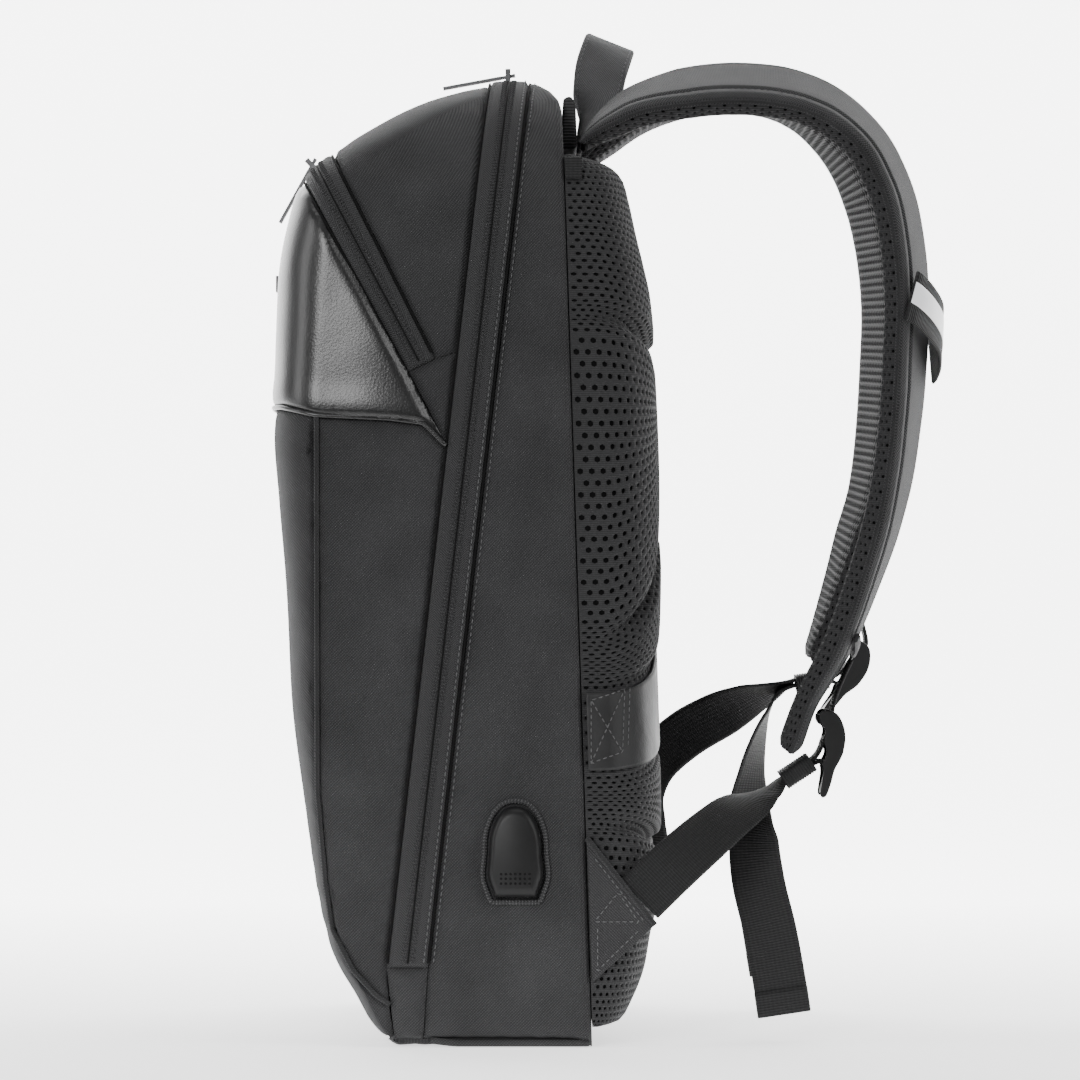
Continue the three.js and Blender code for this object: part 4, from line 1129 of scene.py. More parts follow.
def stations(points, hints, per_span):
    """Origin, tangent, across and out at even table places."""
    points, hints = np.asarray(points, float), np.asarray(hints, float)
    spans = len(points) - 1
    made = []
    for k in range(spans * per_span + 1):
        t = k / (spans * per_span)
        span = min(spans - 1, k // per_span)
        share = k / per_span - span
        hint = hints[span] * (1 - share) + hints[span + 1] * share
        ahead = curve_point(points, min(1, t + 1e-4)) - curve_point(points, max(0, t - 1e-4))
        tangent = unit(ahead)
        across = unit(hint - tangent * (hint @ tangent))
        made.append((curve_point(points, t), tangent, across, np.cross(across, tangent), k / per_span))
    return made


def web_section(width, thick, edge=0.9):
    """Flat section with softly rounded edges, [across, out]."""
    half = width / 2
    top = [(a * (half - edge), thick / 2) for a in np.linspace(-1, 1, 13)]
    low = [(-a, -o) for a, o in top]
    return np.array([*top, (half, 0), *low, (-half, 0)])


def placed(station, section):
    origin, _, across, out, _ = station
    return origin + section[:, :1] * across + section[:, 1:2] * out


def webbing(points, hints, width=WEB_WIDTH, thick=WEB_THICK, per_span=7):
    section = web_section(width, thick)
    return loft([placed(s, section) for s in stations(points, hints, per_span)], across=section[:, 0])


# Shoulder strap rows: out of DEPTH, up of HEIGHT, x, shares of full width and thickness, the
# near strap's tilt, and the far strap's rise (of HEIGHT) and own tilt
STRAP_ROWS = [
    (0.276, 0.93, 82, 0.8, 0.3, 0, 0, 0), (0.3, 0.938, 82, 0.83, 0.6, 3, 0.001, 0),
    (0.373, 0.956, 82, 0.9, 0.9, 8, 0.004, 0), (0.46, 0.973, 82, 0.95, 1, 12, 0.009, 0),
    (0.6, 0.986, 82, 1, 1, 16, 0.014, -1), (0.76, 0.991, 82, 1, 1, 17, 0.016, -2),
    (0.907, 0.987, 82, 1, 1, 17, 0.016, -1), (1.013, 0.976, 82, 1, 1, 16, 0.014, 2),
    (1.1, 0.958, 82, 1, 1, 14.5, 0.01, 5), (1.175, 0.933, 82, 1, 1, 13.5, 0.006, 8),
    (1.232, 0.899, 82, 1, 1, 13, 0.002, 10), (1.27, 0.86, 83, 1, 1, 12.5, 0, 11),
    (1.298, 0.79, 84, 1, 1, 12.5, 0, 11), (1.295, 0.718, 85, 1, 1, 12.5, 0, 11),
    (1.252, 0.581, 87, 0.97, 1, 10.5, 0, 9)]
TIPS = {
    "near": [
        (1.163, 0.48, 89, 0.9, 1, 7), (1.077, 0.409, 91, 0.8, 0.95, 5),
        (0.98, 0.351, 92, 0.72, 0.82, 3), (0.935, 0.312, 92, 0.66, 0.75, 1),
        (0.92, 0.3, 92, 0.5, 0.4, 0)],
    "far": [
        (1.195, 0.522, 88, 0.93, 1, 7), (1.15, 0.47, 90, 0.88, 1, 5),
        (1.105, 0.425, 91, 0.8, 0.95, 3), (1.07, 0.397, 92, 0.72, 0.82, 1),
        (1.057, 0.387, 92, 0.55, 0.5, 0)]}


def strap_table(side):
    """Rows of out, up, x, width, thickness and tilt for one strap."""
    rows = []
    for *place, tilt, rise, far_tilt in STRAP_ROWS:
        if side == "far":
            place[1] += rise
            tilt = far_tilt
        rows.append((*place, tilt))
    return np.array(rows + TIPS[side], float)


class Strap:
    """One shoulder strap as a surface over table places."""

    def __init__(self, side):
        table = strap_table(side)
        last = len(table) - 1
        points = np.column_stack([table[:, 2], table[:, 0] * DEPTH, table[:, 1] * HEIGHT])
        hints = []
        for i in range(last + 1):
            run = unit(points[min(last, i + 1), 1:] - points[max(0, i - 1), 1:])
            tilt = math.radians(table[i, 5])
            hints.append([math.cos(tilt), run[1] * math.sin(tilt), -run[0] * math.sin(tilt)])
        self.last = last
        self.stations = stations(points, hints, 16)
        self.places = np.array([s[4] for s in self.stations])
        self.frames = np.array([np.concatenate([s[0], s[2], s[3], s[1]]) for s in self.stations])
        rows = np.arange(last + 1)
        self.wide = smooth_curve(rows, table[:, 3])
        self.thick = smooth_curve(rows, table[:, 4])

    def frame(self, row):
        row = np.asarray(row, float)
        return np.stack([np.interp(row, self.places, column) for column in self.frames.T], axis=-1)

    def at(self, row, across, out, lift=0.0):
        """Point at shares of the half width and of the thickness, lifted by millimetres."""
        f = self.frame(row)
        a = (np.asarray(across) * STRAP_HALF * self.wide(row))[..., None]
        o = (np.asarray(out) * STRAP_THICK * self.thick(row) + lift)[..., None]
        return f[..., :3] + a * f[..., 3:6] + o * f[..., 6:9]


COVER_TOP = smooth_curve([0, 0.35, 0.88, 1.01], [0.5, 0.5, 0.47, 0.3])
LINING_LINE = np.array([
    (-0.985, 0.12), (-0.985, -0.08), (-0.88, -0.4), (-0.6, -0.5), (0.6, -0.5), (0.88, -0.4),
    (0.985, -0.08), (0.985, 0.12)])
CHANNEL = 0.7


def cover_shape(strap):
    """Padded cover: a full middle between two sewn lines, and thinner margins."""
    across = np.concatenate([np.linspace(-1.01, 1.01, 61), np.linspace(0.99, -0.99, 15)])
    out = np.concatenate([COVER_TOP(np.abs(across[:61])), np.full(15, 0.16)])
    groove = 0.11 * bell(np.abs(across[:61]) - CHANNEL, 0.035)
    fuller = 0.05 * (np.abs(across[:61]) < CHANNEL)
    out[:61] += fuller - groove
    rows = np.linspace(0, strap.last, strap.last * 12 + 1)
    rings = [strap.at(np.full(len(across), r), across, out) for r in rows]
    uneven = 0.35 * ripple(np.array([ring.mean(axis=0) for ring in rings]), 60)
    rings = [ring + strap.frame(r)[6:9] * u for ring, r, u in zip(rings, rows, uneven)]
    return loft(rings, across=across * STRAP_HALF)


def lining_at(share):
    """Across and out shares at a place round the lining's section."""
    line = LINING_LINE * [STRAP_HALF, STRAP_THICK]
    run = np.concatenate([[0], np.cumsum(np.hypot(*np.diff(line, axis=0).T))])
    at = np.asarray(share) * run[-1]
    return np.interp(at, run, LINING_LINE[:, 0]), np.interp(at, run, LINING_LINE[:, 1])


def lining_shapes(strap):
    def surface(row, column, sink=0.0):
        across, out = lining_at(column)
        return strap.at(row, across * (1 - sink / STRAP_HALF), out * (1 - 2 * sink / STRAP_THICK))
    _, length = even_rows(surface, 0, strap.last, 10, 0.5)
    rows, _ = even_rows(surface, 0.3, strap.last - 0.25, int(length / (MESH_PITCH * 0.87)), 0.5)
    columns = np.linspace(0, 1, 49)
    points, faces, weave = air_mesh(surface, rows, columns, lambda row, column: 0.5, -MESH_DEEP)
    cloth = points, [face[::-1] for face in faces], weave
    places = np.linspace(0, 1, 25)
    foam_rows = np.linspace(0.1, strap.last - 0.1, strap.last * 5)
    foam = loft([surface(np.full(25, r), places, MESH_DEEP) for r in foam_rows])
    return cloth, foam


def strap_edges(strap):
    """Bound edges between the cover and the lining."""
    rows = np.linspace(0.15, strap.last - 0.1, strap.last * 8)
    shapes = [tube(strap.at(rows, np.full(len(rows), a), np.full(len(rows), 0.16)), 1.35)
              for a in (-1, 1)]
    return joined(shapes)


def channel_stitches(strap):
    rows = np.linspace(0.6, strap.last - 0.5, strap.last * 10)
    shapes = []
    for side in (-CHANNEL, CHANNEL):
        level = COVER_TOP(np.full(len(rows), CHANNEL)) - 0.06
        line = strap.at(rows, np.full(len(rows), side), level)
        shapes.append(beads(*even_stations(line, strap.frame(rows)[:, 6:9], STITCH["pitch"]),
                            STITCH["size"]))
    return joined(shapes)


def strap_band(strap, z, half, slant, bulge):
    """Stations of a band lying across the strap's outer face."""
    fine = np.linspace(8, strap.last - 1, 600)
    frames = strap.frame(fine)
    row = fine[np.argmin(np.abs(frames[:, 2] - z))]
    f = strap.frame(row)
    origin, across, out, tangent = f[:3], f[3:6], f[6:9], f[9:12]
    points, hints = [], []
    for share in (-1, -0.86, -0.5, 0, 0.5, 0.86, 1):
        cover = float(COVER_TOP(abs(share) * half / STRAP_HALF)) * STRAP_THICK * float(strap.thick(row))
        lift = cover + GAP + 0.9 + WEB_THICK / 2 + bulge * math.cos(share * math.pi / 2)
        points.append(origin + across * share * half + out * lift - tangent * share * slant)
        hints.append(tangent)
    return points, hints


# Bands across a strap: height, half length, slant along the strap and bulge
LOOP = {"z": 336, "half": 33, "slant": 13, "bulge": 7.6}
TACK = {"half": 27, "slant": 2, "bulge": 0.6}
TACK_Z = {"near": 188.5, "far": 213}
TACK_SIZE = {"width": 5, "thick": 2.0}
STRIPE_BAND = {"width": 10.5, "thick": 0.4, "edge": 0.2, "place": (-1.5, -0.95)}


def shoulder_straps():
    for side in ("near", "far"):
        strap = Strap(side)
        cover = make(f"shoulder_cover_{side}_skin", on_side(side, cover_shape(strap)), TWILL,
                     nodes=[f"shoulder_cover_{side}"])
        cloth, foam = lining_shapes(strap)
        lining = make(f"shoulder_lining_{side}_mesh", on_side(side, cloth), MESH,
                      nodes=[f"shoulder_lining_{side}"])
        make(f"shoulder_lining_{side}_foam", on_side(side, foam), FOAM_AND_SHADE)
        make(f"shoulder_binding_{side}", on_side(side, strap_edges(strap)), TWILL)
        make(f"shoulder_stitches_{side}", on_side(side, channel_stitches(strap)), THREAD)
        places = stations(*strap_band(strap, **LOOP), 8)
        section = web_section(WEB_WIDTH, WEB_THICK)
        loop = loft([placed(s, section) for s in places], across=section[:, 0])
        make(f"strap_loop_{side}_webbing", on_side(side, loop), WEBBING,
             nodes=[f"strap_loop_{side}"])
        section = web_section(STRIPE_BAND["width"], STRIPE_BAND["thick"], STRIPE_BAND["edge"])
        section = section + STRIPE_BAND["place"]
        stripe = loft([placed(s, section) for s in places], across=section[:, 0])
        make(f"strap_stripe_{side}", on_side(side, stripe), STRIPE)
        tack = webbing(*strap_band(strap, TACK_Z[side], **TACK), **TACK_SIZE)
        make(f"strap_tack_{side}_webbing", on_side(side, tack), WEBBING,
             nodes=[f"strap_tack_{side}"])


# Grab handle rows: x, y, z and the turn of the width from across the bag to the rear
HANDLE_ROWS = [
    (36, 40.5, 421, 0), (36, 41.1, 428, 3), (36, 43.6, 434, 15), (36, 47.2, 441, 35),
    (35, 49.6, 449, 64), (33, 50.4, 456, 82), (30, 51.5, 463, 88), (19, 54.5, 472.5, 90),
    (0, 56, 476.5, 90)]


HANDLE_THICK = 2.0
# Stitch rows of the handle: distance from its edge, and height over its middle
HANDLE_STITCH = {"inset": 2, "lift": 1.05}


def grab_handle():
    points, hints = [], []
    for x, y, z, swing in HANDLE_ROWS:
        angle = math.radians(swing)
        t = min(1, max(0, (z - 450) / 25))
        points.append([x, y, z])
        hints.append([math.cos(angle), math.sin(angle), -0.4 * math.sin(angle) * t * t * (3 - 2 * t)])
    points += [[-x, y, z] for x, y, z in points[-2::-1]]
    hints += [[-a, b, c] for a, b, c in hints[-2::-1]]
    make("grab_handle_webbing", webbing(points, hints, thick=HANDLE_THICK), TWILL_FINE,
         nodes=["grab_handle"])
    rows = stations(points, hints, 7)
    outward = np.array([s[3] for s in rows])
    lines = []
    for side in (-1, 1):
        edge = side * (WEB_WIDTH / 2 - HANDLE_STITCH["inset"])
        for face in (1, -1):
            line = np.array([s[0] + edge * s[2] + face * HANDLE_STITCH["lift"] * s[3] for s in rows])
            lines.append(beads(*even_stations(line, face * outward, STITCH["pitch"]), STITCH["size"]))
    make("grab_handle_stitches", joined(lines), THREAD)


# Adjusting straps and their locks
LOCK_X = 92
LOCK_HALF = 16.2
RAIL = 2.8
LOCKS = {"near": ((159, 138), 0), "far": ((177.5, 168), 25)}
RAIL_OUTLINE = [
    (-4.8, 17), (1.5, 16.2), (5, 11), (6.2, 4), (4.6, -4), (1.2, -10.5), (-0.6, -17), (-3, -23),
    (-5.6, -22.5), (-4.4, -13), (-4.6, -8), (-2.6, -3), (-4, 3), (-3.4, 8), (-6.2, 13)]
TOP_BAR = [(-4.4, 15.6), (-1.2, 15.4), (-1.2, 12.4), (-4.4, 12.4)]
MIDDLE_BAR = [(-1.8, 2.6), (1.8, 2.6), (2.8, -1), (1.4, -3), (-1.4, -2.4)]
LIFT_TAB = [(-2.6, -11.2), (0.6, -11.4), (-0.8, -17), (-3, -22.6), (-5.4, -22.2)]
HOLDER = [(0.4, 17), (0.4, 13), (-0.8, 10.8), (-2.8, 10.2), (-4.9, 10.9), (-6.1, 12.8), (-6, 15)]
HOLDER_ROOTS = {
    "near": [(168.6, 179), (164.6, 170.5), (161.2, 162)],
    "far": [(177.8, 202.5), (181.8, 196.5), (184.2, 189.5)]}
ROUND_BAR = [
    (-7.7, -4.9), (-5, -0.6), (-3.5, 3.4), (0, 5.2), (3.6, 3.6), (4.9, -0.6), (3.1, -5.4),
    (-1.4, -7.6), (-6.3, -7.1)]
# Each route: x, y, z and the direction of the width, before the lock and after it
CLIMBS = {
    "near": [
        (145.2, 67.8, 69, 0, 0.7, -0.7), (141, 83, 83.5, 0.1, 0.68, -0.7),
        (131, 96.7, 95.1, 0.35, 0.6, -0.7), (118, 111.2, 106.5, 0.65, 0.35, -0.6),
        (103, 124, 114.6, 0.92, 0.1, -0.3), (93, 133.3, 120.9, 1, 0, 0)],
    "far": [
        (145.2, 68.8, 70, 0, 0.7, -0.7), (145.2, 73.8, 76.5, 0, 0.75, -0.6),
        (144.5, 75, 92, -0.45, 0.8, -0.25), (141, 74.5, 107, -0.5, 0.8, -0.3),
        (134, 80, 122, -0.3, 0.7, -0.6), (124, 95, 136.5, 0, 0.5, -0.85),
        (113, 113, 147.3, 0.3, 0.4, -0.8), (103, 130.4, 157, 0.75, 0.25, -0.5),
        (93, 148, 164.8, 1, 0, 0)]}
TAILS = {
    "near": [
        (92, 134.7, 118.6, 1, 0, 0), (92, 128.4, 112.4, 1, 0.1, 0), (92, 124.4, 104, 0.8, 0.6, 0),
        (92, 122.8, 94, 0.4, 0.9, 0), (92, 124.7, 74.6, 0.1, 1, 0.1), (93, 130.5, 50, 0, 1, 0.2),
        (94, 135, 25, 0, 1, 0.2), (94, 137, 11.5, 0, 1, 0.2)],
    "far": [
        (92, 149, 162.2, 1, 0, 0), (92, 141.5, 158.5, 1, 0, 0), (92, 135.8, 148.6, 1, 0.1, 0),
        (92, 131.8, 137, 0.95, 0.3, 0), (92, 127.8, 118, 0.8, 0.55, 0), (92, 126.8, 96, 0.4, 0.9, 0),
        (92, 131.5, 65, 0, 1, 0.1), (93, 136.5, 36, 0, 1, 0.1), (94, 139.5, 18, 0, 1, 0.1)]}
# Elastic keeper: its size, its place from the lock's middle bar, its slope and its fine ribs
KEEPER = {"length": 16, "wall": 1.1, "wide": 28.4, "high": 6.8, "place": (-16, -11.6),
          "shift": 0.8, "slope": 33.5, "ribs": 12, "rib_height": 0.22}
# Folded end of each tail: distances from the end, and how much wider and thicker it is
HEM = {"steps": (12, 7.5, 4, 0.4), "wider": 0.3, "thicker": 1.3}
HOLDER_WIDTH = 24


def lock_point(side, out, up):
    (y, z), turn = LOCKS[side]
    angle = math.radians(turn)
    return (y + out * math.cos(angle) + up * math.sin(angle),
            z - out * math.sin(angle) + up * math.cos(angle))


def lock_shape(side):
    def slab(outline, from_x, to_x, smooth):
        placed_line = [lock_point(side, *point) for point in outline]
        return prism(rounded(placed_line) if smooth else placed_line, from_x, to_x)
    left, right = LOCK_X - LOCK_HALF, LOCK_X + LOCK_HALF
    inner = (left + RAIL / 2, right - RAIL / 2)
    return joined([
        slab(RAIL_OUTLINE, left, left + RAIL, True), slab(RAIL_OUTLINE, right - RAIL, right, True),
        slab(TOP_BAR, *inner, False), slab(MIDDLE_BAR, *inner, True), slab(LIFT_TAB, *inner, False)])


def keeper_shape(side):
    """Elastic sleeve, with fine ribs round it."""
    y, z = lock_point(side, *KEEPER["place"])
    slope = math.radians(KEEPER["slope"] - LOCKS[side][1])
    turns = np.arange(32) * 2 * math.pi / 32
    around = np.column_stack([
        np.sign(np.cos(turns)) * np.abs(np.cos(turns)) ** 0.3,
        np.sign(np.sin(turns)) * np.abs(np.sin(turns)) ** 0.45])
    steps = np.linspace(-0.5, 0.5, 49)
    shells = []
    for grow, order in ((KEEPER["wall"], 1), (0.0, -1)):
        for s in steps[::order]:
            rib = KEEPER["rib_height"] * math.sin(s * KEEPER["ribs"] * 2 * math.pi) if grow else 0
            half = np.array([KEEPER["wide"] / 2 + grow + rib, KEEPER["high"] / 2 + grow + rib])
            ring = around * half
            along = s * KEEPER["length"]
            yy = y + along * math.cos(slope) - ring[:, 1] * math.sin(slope)
            zz = z + along * math.sin(slope) + ring[:, 1] * math.cos(slope)
            shells.append(np.column_stack([LOCK_X + KEEPER["shift"] + ring[:, 0], yy, zz]))
    shells = np.array(shells)
    rows, columns = shells.shape[:2]
    faces = grid_faces(rows, columns, True)
    last = (rows - 1) * columns
    faces += [[last + i, last + (i + 1) % columns, (i + 1) % columns, i] for i in range(columns)]
    points = shells.reshape(-1, 3)
    weave = np.column_stack([points[:, 0], np.repeat(np.concatenate(
        [steps, steps[::-1]]) * KEEPER["length"], columns)])
    return points, faces, weave


def adjusters():
    for side in ("near", "far"):
        in_lock = [(LOCK_X, *lock_point(side, *point), 1, 0, 0) for point in ROUND_BAR]
        rows = np.array([*CLIMBS[side], *in_lock, *TAILS[side]], float)
        make(f"adjuster_strap_{side}_webbing", on_side(side, webbing(rows[:, :3], rows[:, 3:])),
             WEBBING, nodes=[f"adjuster_strap_{side}"])
        end = rows[-1]
        ahead = unit(rows[-1, :3] - rows[-2, :3])
        hem = [end[:3] - ahead * s for s in HEM["steps"]]
        shape = webbing(hem, [end[3:]] * 4, WEB_WIDTH + HEM["wider"], WEB_THICK + HEM["thicker"], 2)
        make(f"adjuster_hem_{side}", on_side(side, shape), WEBBING)
        line = [*HOLDER_ROOTS[side], *[lock_point(side, *point) for point in HOLDER]]
        points = [(LOCK_X, y, z) for y, z in line]
        holder = webbing(points, [(1, 0, 0)] * len(points), HOLDER_WIDTH)
        make(f"lock_webbing_{side}_web", on_side(side, holder), WEBBING,
             nodes=[f"lock_webbing_{side}"])
        body = make(f"ladder_lock_{side}_body", on_side(side, lock_shape(side)), PLASTIC,
                    nodes=[f"ladder_lock_{side}"], flat=True)
        soften(body, 0.55)
        make(f"strap_keeper_{side}_sleeve", on_side(side, keeper_shape(side)), WEBBING,
             nodes=[f"strap_keeper_{side}"])


# Luggage band, wings, port and small parts

def node_shape(node):
    """The points and faces of a frame piece, welded and with its flat faces joined."""
    bm = bmesh.new()
    bm.from_mesh(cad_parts[node].data)
    bmesh.ops.remove_doubles(bm, verts=bm.verts, dist=1e-6)
    bmesh.ops.dissolve_limit(bm, angle_limit=math.radians(1), verts=bm.verts, edges=bm.edges)
    bmesh.ops.recalc_face_normals(bm, faces=bm.faces)
    bm.verts.index_update()
    points = np.array([v.co for v in bm.verts]) / MM
    faces = [[v.index for v in f.verts] for f in bm.faces]
    bm.free()
    return points, faces, points[:, 1:]


BAND_EDGES = ((128, 142), (164, 184))
BAND_MIDDLE = (146, 163)
BAND_LIFT = (0.6, 2.5)
# Sewn box and seam of the band's end, [y, z]
BAND_BOX = [(45.5, 161), (61, 166), (60, 137), (45.5, 132)]
BAND_SEAM = [(63.5, 168.5), (62.5, 139)]


def band_shape():
    """Leather band drawn over both pads, closely following them."""
    row_of = float(np.interp(BAND_MIDDLE[0], PAD_ROWS[:, 0], np.arange(len(PAD_ROWS))))
    columns = np.linspace(0.2, 5, 60)
    line = pad_surface(np.full(60, row_of), columns)[:, :2]
    flat = [(x, line[-1, 1]) for x in np.linspace(PAD_RIDGE_X - 2, 0, 25)]
    line = np.concatenate([line, flat])
    ahead = unit(np.gradient(line, axis=0))
    normal = np.column_stack([-ahead[:, 1], ahead[:, 0]])
    normal *= np.sign(normal[:, 1:] + 0.001)
    normal[:6] = [1, 0]
    (low_side, low_ridge), (high_side, high_ridge) = BAND_EDGES
    rings = []
    for (x, y), (nx, ny) in zip(line, normal):
        low, high = slant_at(low_side, low_ridge, x), slant_at(high_side, high_ridge, x)
        mid = slant_at(*BAND_MIDDLE, x)
        heights = np.linspace(low, high, 21)
        base = y + rear_at(heights) - rear_at(mid)
        inner = [(x + nx * BAND_LIFT[0], b + ny * BAND_LIFT[0], h) for b, h in zip(base, heights)]
        outer = [(x + nx * BAND_LIFT[1], b + ny * BAND_LIFT[1], h) for b, h in zip(base, heights)]
        rings.append([*inner, *outer[::-1]])
    near = np.array(rings)
    far = near[-2::-1] * [-1, 1, 1]
    return loft(np.concatenate([near, far]))


def project(shape, line, lift):
    """Drops points of the side view on a shape from the near side."""
    tree = BVHTree.FromPolygons([Vector(p) for p in shape[0].tolist()], shape[1])
    places, normals = [], []
    for y, z in line:
        hit, normal, _, _ = tree.ray_cast(Vector((400, y, z)), Vector((-1, 0, 0)))
        if hit is None:
            continue
        normal = normal if normal.x > 0 else -normal
        places.append(hit + normal * lift)
        normals.append(normal)
    return np.array(places), np.array(normals)


def sewn(shape, lines, lift=0.15):
    """Stitches along lines of the side view on a shape."""
    made = []
    for line in lines:
        path, normals = project(shape, resample(line, 1.0), lift)
        if len(path) > 3:
            made.append(beads(*even_stations(path, normals, STITCH["pitch"]), STITCH["size"]))
    return joined(made)


def crossed_box(corners):
    """Lines of a sewn box with a cross in it."""
    a, b, c, d = corners
    return [[a, b, c, d, a], [a, c], [b, d]]


def both_sides(shape):
    return joined([shape, mirrored(shape)])


def luggage_band():
    shape = band_shape()
    make("luggage_band_leather", shape, BAND, nodes=["luggage_band"])
    stitches = sewn(shape, [*crossed_box(BAND_BOX), BAND_SEAM])
    make("luggage_band_stitches", both_sides(stitches), THREAD)


WING = [(43.4, 97.2), (75, 56.9), (46, 30.1)]
# Rings of a wing's cloth: share of its outline and x
WING_RINGS = [(0.97, 144), (1, 144.5), (1, 145.9), (0.985, 146.3), (0.9, 146.4), (0.5, 146.5)]
WING_FOLD = {"x": 146.0, "radius": 1.5}
# Sewn lines of a wing, [y, z]
WING_SEAMS = [
    [(47, 88), (70.5, 58)], [(47, 58.5), (67.5, 58.5), (58, 72), (47, 58.5)],
    [(48.5, 56), (48.5, 36), (68, 55)]]


def anchor_wings():
    """Folded triangles that hold the adjusting straps."""
    outline = resample([*WING, WING[0]], 2.5)[:-1]
    middle = outline.mean(axis=0)
    rings = []
    for share, x in WING_RINGS:
        line = middle + (outline - middle) * share
        rings.append(np.column_stack([np.full(len(line), x), line]))
    points, faces, _ = loft(rings)
    shape = (points, faces, points[:, 1:])
    folded = [(WING_FOLD["x"], *WING[0]), (WING_FOLD["x"], *WING[1])]
    fold = tube(resample(folded, 3), WING_FOLD["radius"])
    for side in ("near", "far"):
        make(f"anchor_wing_{side}_cloth", on_side(side, shape), TWILL,
             nodes=[f"anchor_wing_{side}"])
        make(f"anchor_wing_{side}_fold", on_side(side, fold), TWILL)
    make("anchor_wing_stitches", both_sides(sewn(shape, WING_SEAMS)), THREAD)


PORT_OUTLINE = [(9.6, -21), (10.8, -15), (12, 0), (11.2, 9), (8, 16.5), (3.4, 20.4)]
HOOD_RINGS = [(0.9, 1), (3.4, 1), (4.6, 0.985), (5.8, 0.955), (6.8, 0.91), (7.5, 0.84), (7.8, 0.78)]
# Edged frame round the hood: scale of the hood's outline, height over the cloth and radius
RIM = {"scale": (1.18, 1.12), "lift": 0.7, "radius": 1.15}
OVERLOCK = {"pitch": 1.5, "lift": 0.75, "size": (2.3, 0.6, 0.8)}
# Grip dots of the hood: how many across and up, their pitch, the lowest row and their size
GRIP = {"across": 7, "up": 3, "pitch": 2.2, "low": -14.5, "size": (1.25, 1.25, 0.3)}


def port_outline():
    half = np.array(PORT_OUTLINE, float)
    full = np.concatenate([half, half[::-1] * [-1, 1]])
    arch = rounded(full[1:-1], 6)
    arch = arch[arch[:, 1] > -15]
    order = np.argsort(-np.arctan2(arch[:, 0], -arch[:, 1] - 4) % (2 * math.pi))
    line = np.concatenate([[full[0]], arch[order][::-1], [full[-1]]])
    if line[1, 0] < 0:
        line = np.concatenate([[full[0]], arch[order], [full[-1]]])
    return resample(line, 1.3)


def port():
    """Moulded hood over the charging socket, in an edged frame."""
    outline = port_outline()
    bottom = resample([outline[-1], outline[0]], 1.6)[1:-1]
    closed = np.concatenate([outline, bottom])
    rings = [np.column_stack([np.full(len(closed), HALF_WIDTH + out),
                              PORT_Y + closed[:, 0] * size, PORT_Z + closed[:, 1] * size])
             for out, size in HOOD_RINGS]
    make("port_hood_shell", loft(rings), PLASTIC, nodes=["port_hood"])
    face_x = HALF_WIDTH + HOOD_RINGS[-1][0]
    dots = [(face_x + 0.02, PORT_Y + (i - GRIP["across"] // 2) * GRIP["pitch"],
             PORT_Z + GRIP["low"] + k * GRIP["pitch"])
            for i in range(GRIP["across"]) for k in range(GRIP["up"])]
    along, outward = [(0, 1, 0)] * len(dots), [(1, 0, 0)] * len(dots)
    make("port_grip_dots", beads(dots, along, outward, GRIP["size"], 5, 8), FOAM_AND_SHADE)
    edge = closed * RIM["scale"]
    path = np.column_stack([np.full(len(edge), HALF_WIDTH + RIM["lift"]),
                            PORT_Y + edge[:, 0], PORT_Z + edge[:, 1]])
    path = resample(np.concatenate([path, path[:1]]), 2)
    make("port_rim_welt", tube(path, RIM["radius"]), TWILL, nodes=["port_rim"])
    facing = np.tile([1.0, 0, 0], (len(path), 1))
    centres, along, _ = even_stations(path, facing, OVERLOCK["pitch"])
    cross = np.cross(along, [1.0, 0, 0])
    wraps = beads(centres + [OVERLOCK["lift"], 0, 0], cross, [(1, 0, 0)] * len(centres),
                  OVERLOCK["size"])
    make("port_rim_overlock", wraps, THREAD)


# How far the yoke's inner face is let into the back
YOKE_SEAT = 2.2


def yoke_and_tabs():
    points, faces, _ = node_shape("top_yoke")
    points[:, 1] -= YOKE_SEAT * (points[:, 1] < rear_at(points[:, 2]) + 2)
    yoke = make("top_yoke_cloth", (points, faces, points[:, ::2]), TWILL, nodes=["top_yoke"],
                flat=True)
    soften(yoke, 1.6, 3, 20)
    for side in ("near", "far"):
        tab = make(f"corner_tab_{side}_cloth", node_shape(f"corner_tab_{side}"), WEBBING,
                   nodes=[f"corner_tab_{side}"], flat=True)
        soften(tab, 0.5)


def hard_trim():
    """The sliders, pulls and plate keep their frame shape, with softened edges."""
    for node in ("main_slider", "pocket_slider", "main_pull", "pocket_pull", "front_plate"):
        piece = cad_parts[node]
        piece.data.materials.clear()
        piece.data.materials.append(METAL)
        soften(piece, 0.3)


# Studio

def area_light(name, place, target, size, power):
    light = bpy.data.lights.new(name, "AREA")
    light.shape = "RECTANGLE"
    light.size, light.size_y = size
    light.energy = power
    lamp = bpy.data.objects.new(name, light)
    lamp.location = place
    lamp.rotation_euler = (Vector(target) - Vector(place)).to_track_quat("-Z", "Y").to_euler()
    bpy.context.scene.collection.objects.link(lamp)


# Soft lights: place, size in metres and power, all aimed at the bag's middle
LIGHTS = {
    "camera_soft": ((2.4, -0.85, 0.85), (0.8, 1.1), 46),
    "key_left": ((0.6, -1.8, 0.8), (0.7, 1.4), 14),
    "fill_right": ((1.2, 1.8, 0.9), (0.9, 1.4), 20),
    "top_soft": ((0.2, 0.1, 1.9), (1.2, 1.2), 12),
}
LIGHT_TARGET = (0, 0.02, 0.25)
WORLD_LIGHT = 0.13
# White sweep under and behind the bag: metres along X, its height and the glow from front to back
SWEEP = {"front": 0.36, "bend": -1.0, "radius": 0.6, "top": 2.6, "half_wide": 2.4}
GLOW = {"near": 1.3, "far": 4.5, "from_x": 0.1, "to_x": -1.1}


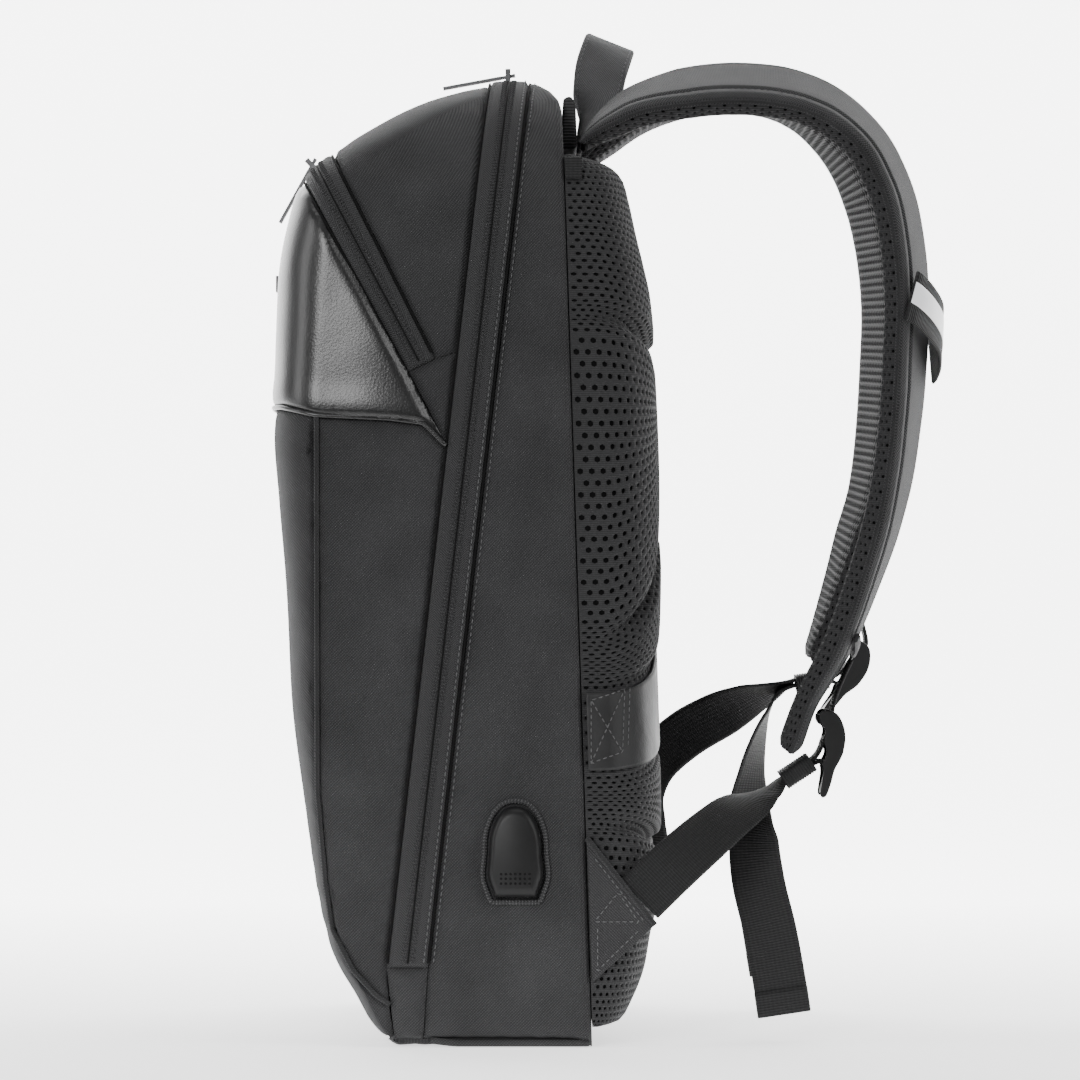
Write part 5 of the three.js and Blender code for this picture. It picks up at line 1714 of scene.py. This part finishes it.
def studio():
    camera = bpy.data.objects.new("camera", bpy.data.cameras.new("camera"))
    camera.data.lens = CAMERA_LENS
    camera.data.clip_start = 0.05
    camera.location = (CAMERA_AWAY, CAMERA_Y, CAMERA_Z)
    camera.rotation_euler = (math.pi / 2, 0, math.pi / 2)
    bpy.context.scene.collection.objects.link(camera)
    bpy.context.scene.camera = camera
    world = bpy.data.worlds.new("studio")
    world.use_nodes = True
    background = world.node_tree.nodes["Background"]
    background.inputs["Color"].default_value = (1, 1, 1, 1)
    background.inputs["Strength"].default_value = WORLD_LIGHT
    bpy.context.scene.world = world
    for name, (place, size, power) in LIGHTS.items():
        area_light(name, place, LIGHT_TARGET, size, power)
    backdrop()


def backdrop():
    turns = np.radians(np.linspace(0, 90, 17))
    profile = [(SWEEP["front"], 0.0), (0.0, 0.0)]
    profile += [(SWEEP["bend"] - SWEEP["radius"] * math.sin(t), SWEEP["radius"] * (1 - math.cos(t)))
                for t in turns]
    profile.append((SWEEP["bend"] - SWEEP["radius"], SWEEP["top"]))
    points = [(x, side * SWEEP["half_wide"], z) for x, z in profile for side in (-1, 1)]
    mesh = bpy.data.meshes.new("sweep")
    mesh.from_pydata(points, [], grid_faces(len(profile), 2, False))
    mesh.polygons.foreach_set("use_smooth", [True] * len(mesh.polygons))
    look = Look("sweep", 0.9, specular=0.1)
    split = look.node("ShaderNodeSeparateXYZ")
    look.link(look.place, split.inputs[0])
    glow = look.node("ShaderNodeMapRange")
    look.link(split.outputs["X"], glow.inputs["Value"])
    for socket, value in (("From Min", GLOW["from_x"]), ("From Max", GLOW["to_x"]),
                          ("To Min", GLOW["near"]), ("To Max", GLOW["far"])):
        glow.inputs[socket].default_value = value
    look.link(glow.outputs["Result"], look.shader.inputs["Emission Strength"])
    look.shader.inputs["Emission Color"].default_value = (1, 1, 1, 1)
    look.colour(look.noise(900), (0.84, 0.84, 0.84), (0.9, 0.9, 0.9))
    mesh.materials.append(look.material)
    sweep = bpy.data.objects.new("sweep", mesh)
    bpy.context.scene.collection.objects.link(sweep)


studio()
body_panels()
zips()
piping()
leather_lip()
back_pads()
shoulder_straps()
grab_handle()
adjusters()
luggage_band()
anchor_wings()
port()
yoke_and_tabs()
hard_trim()
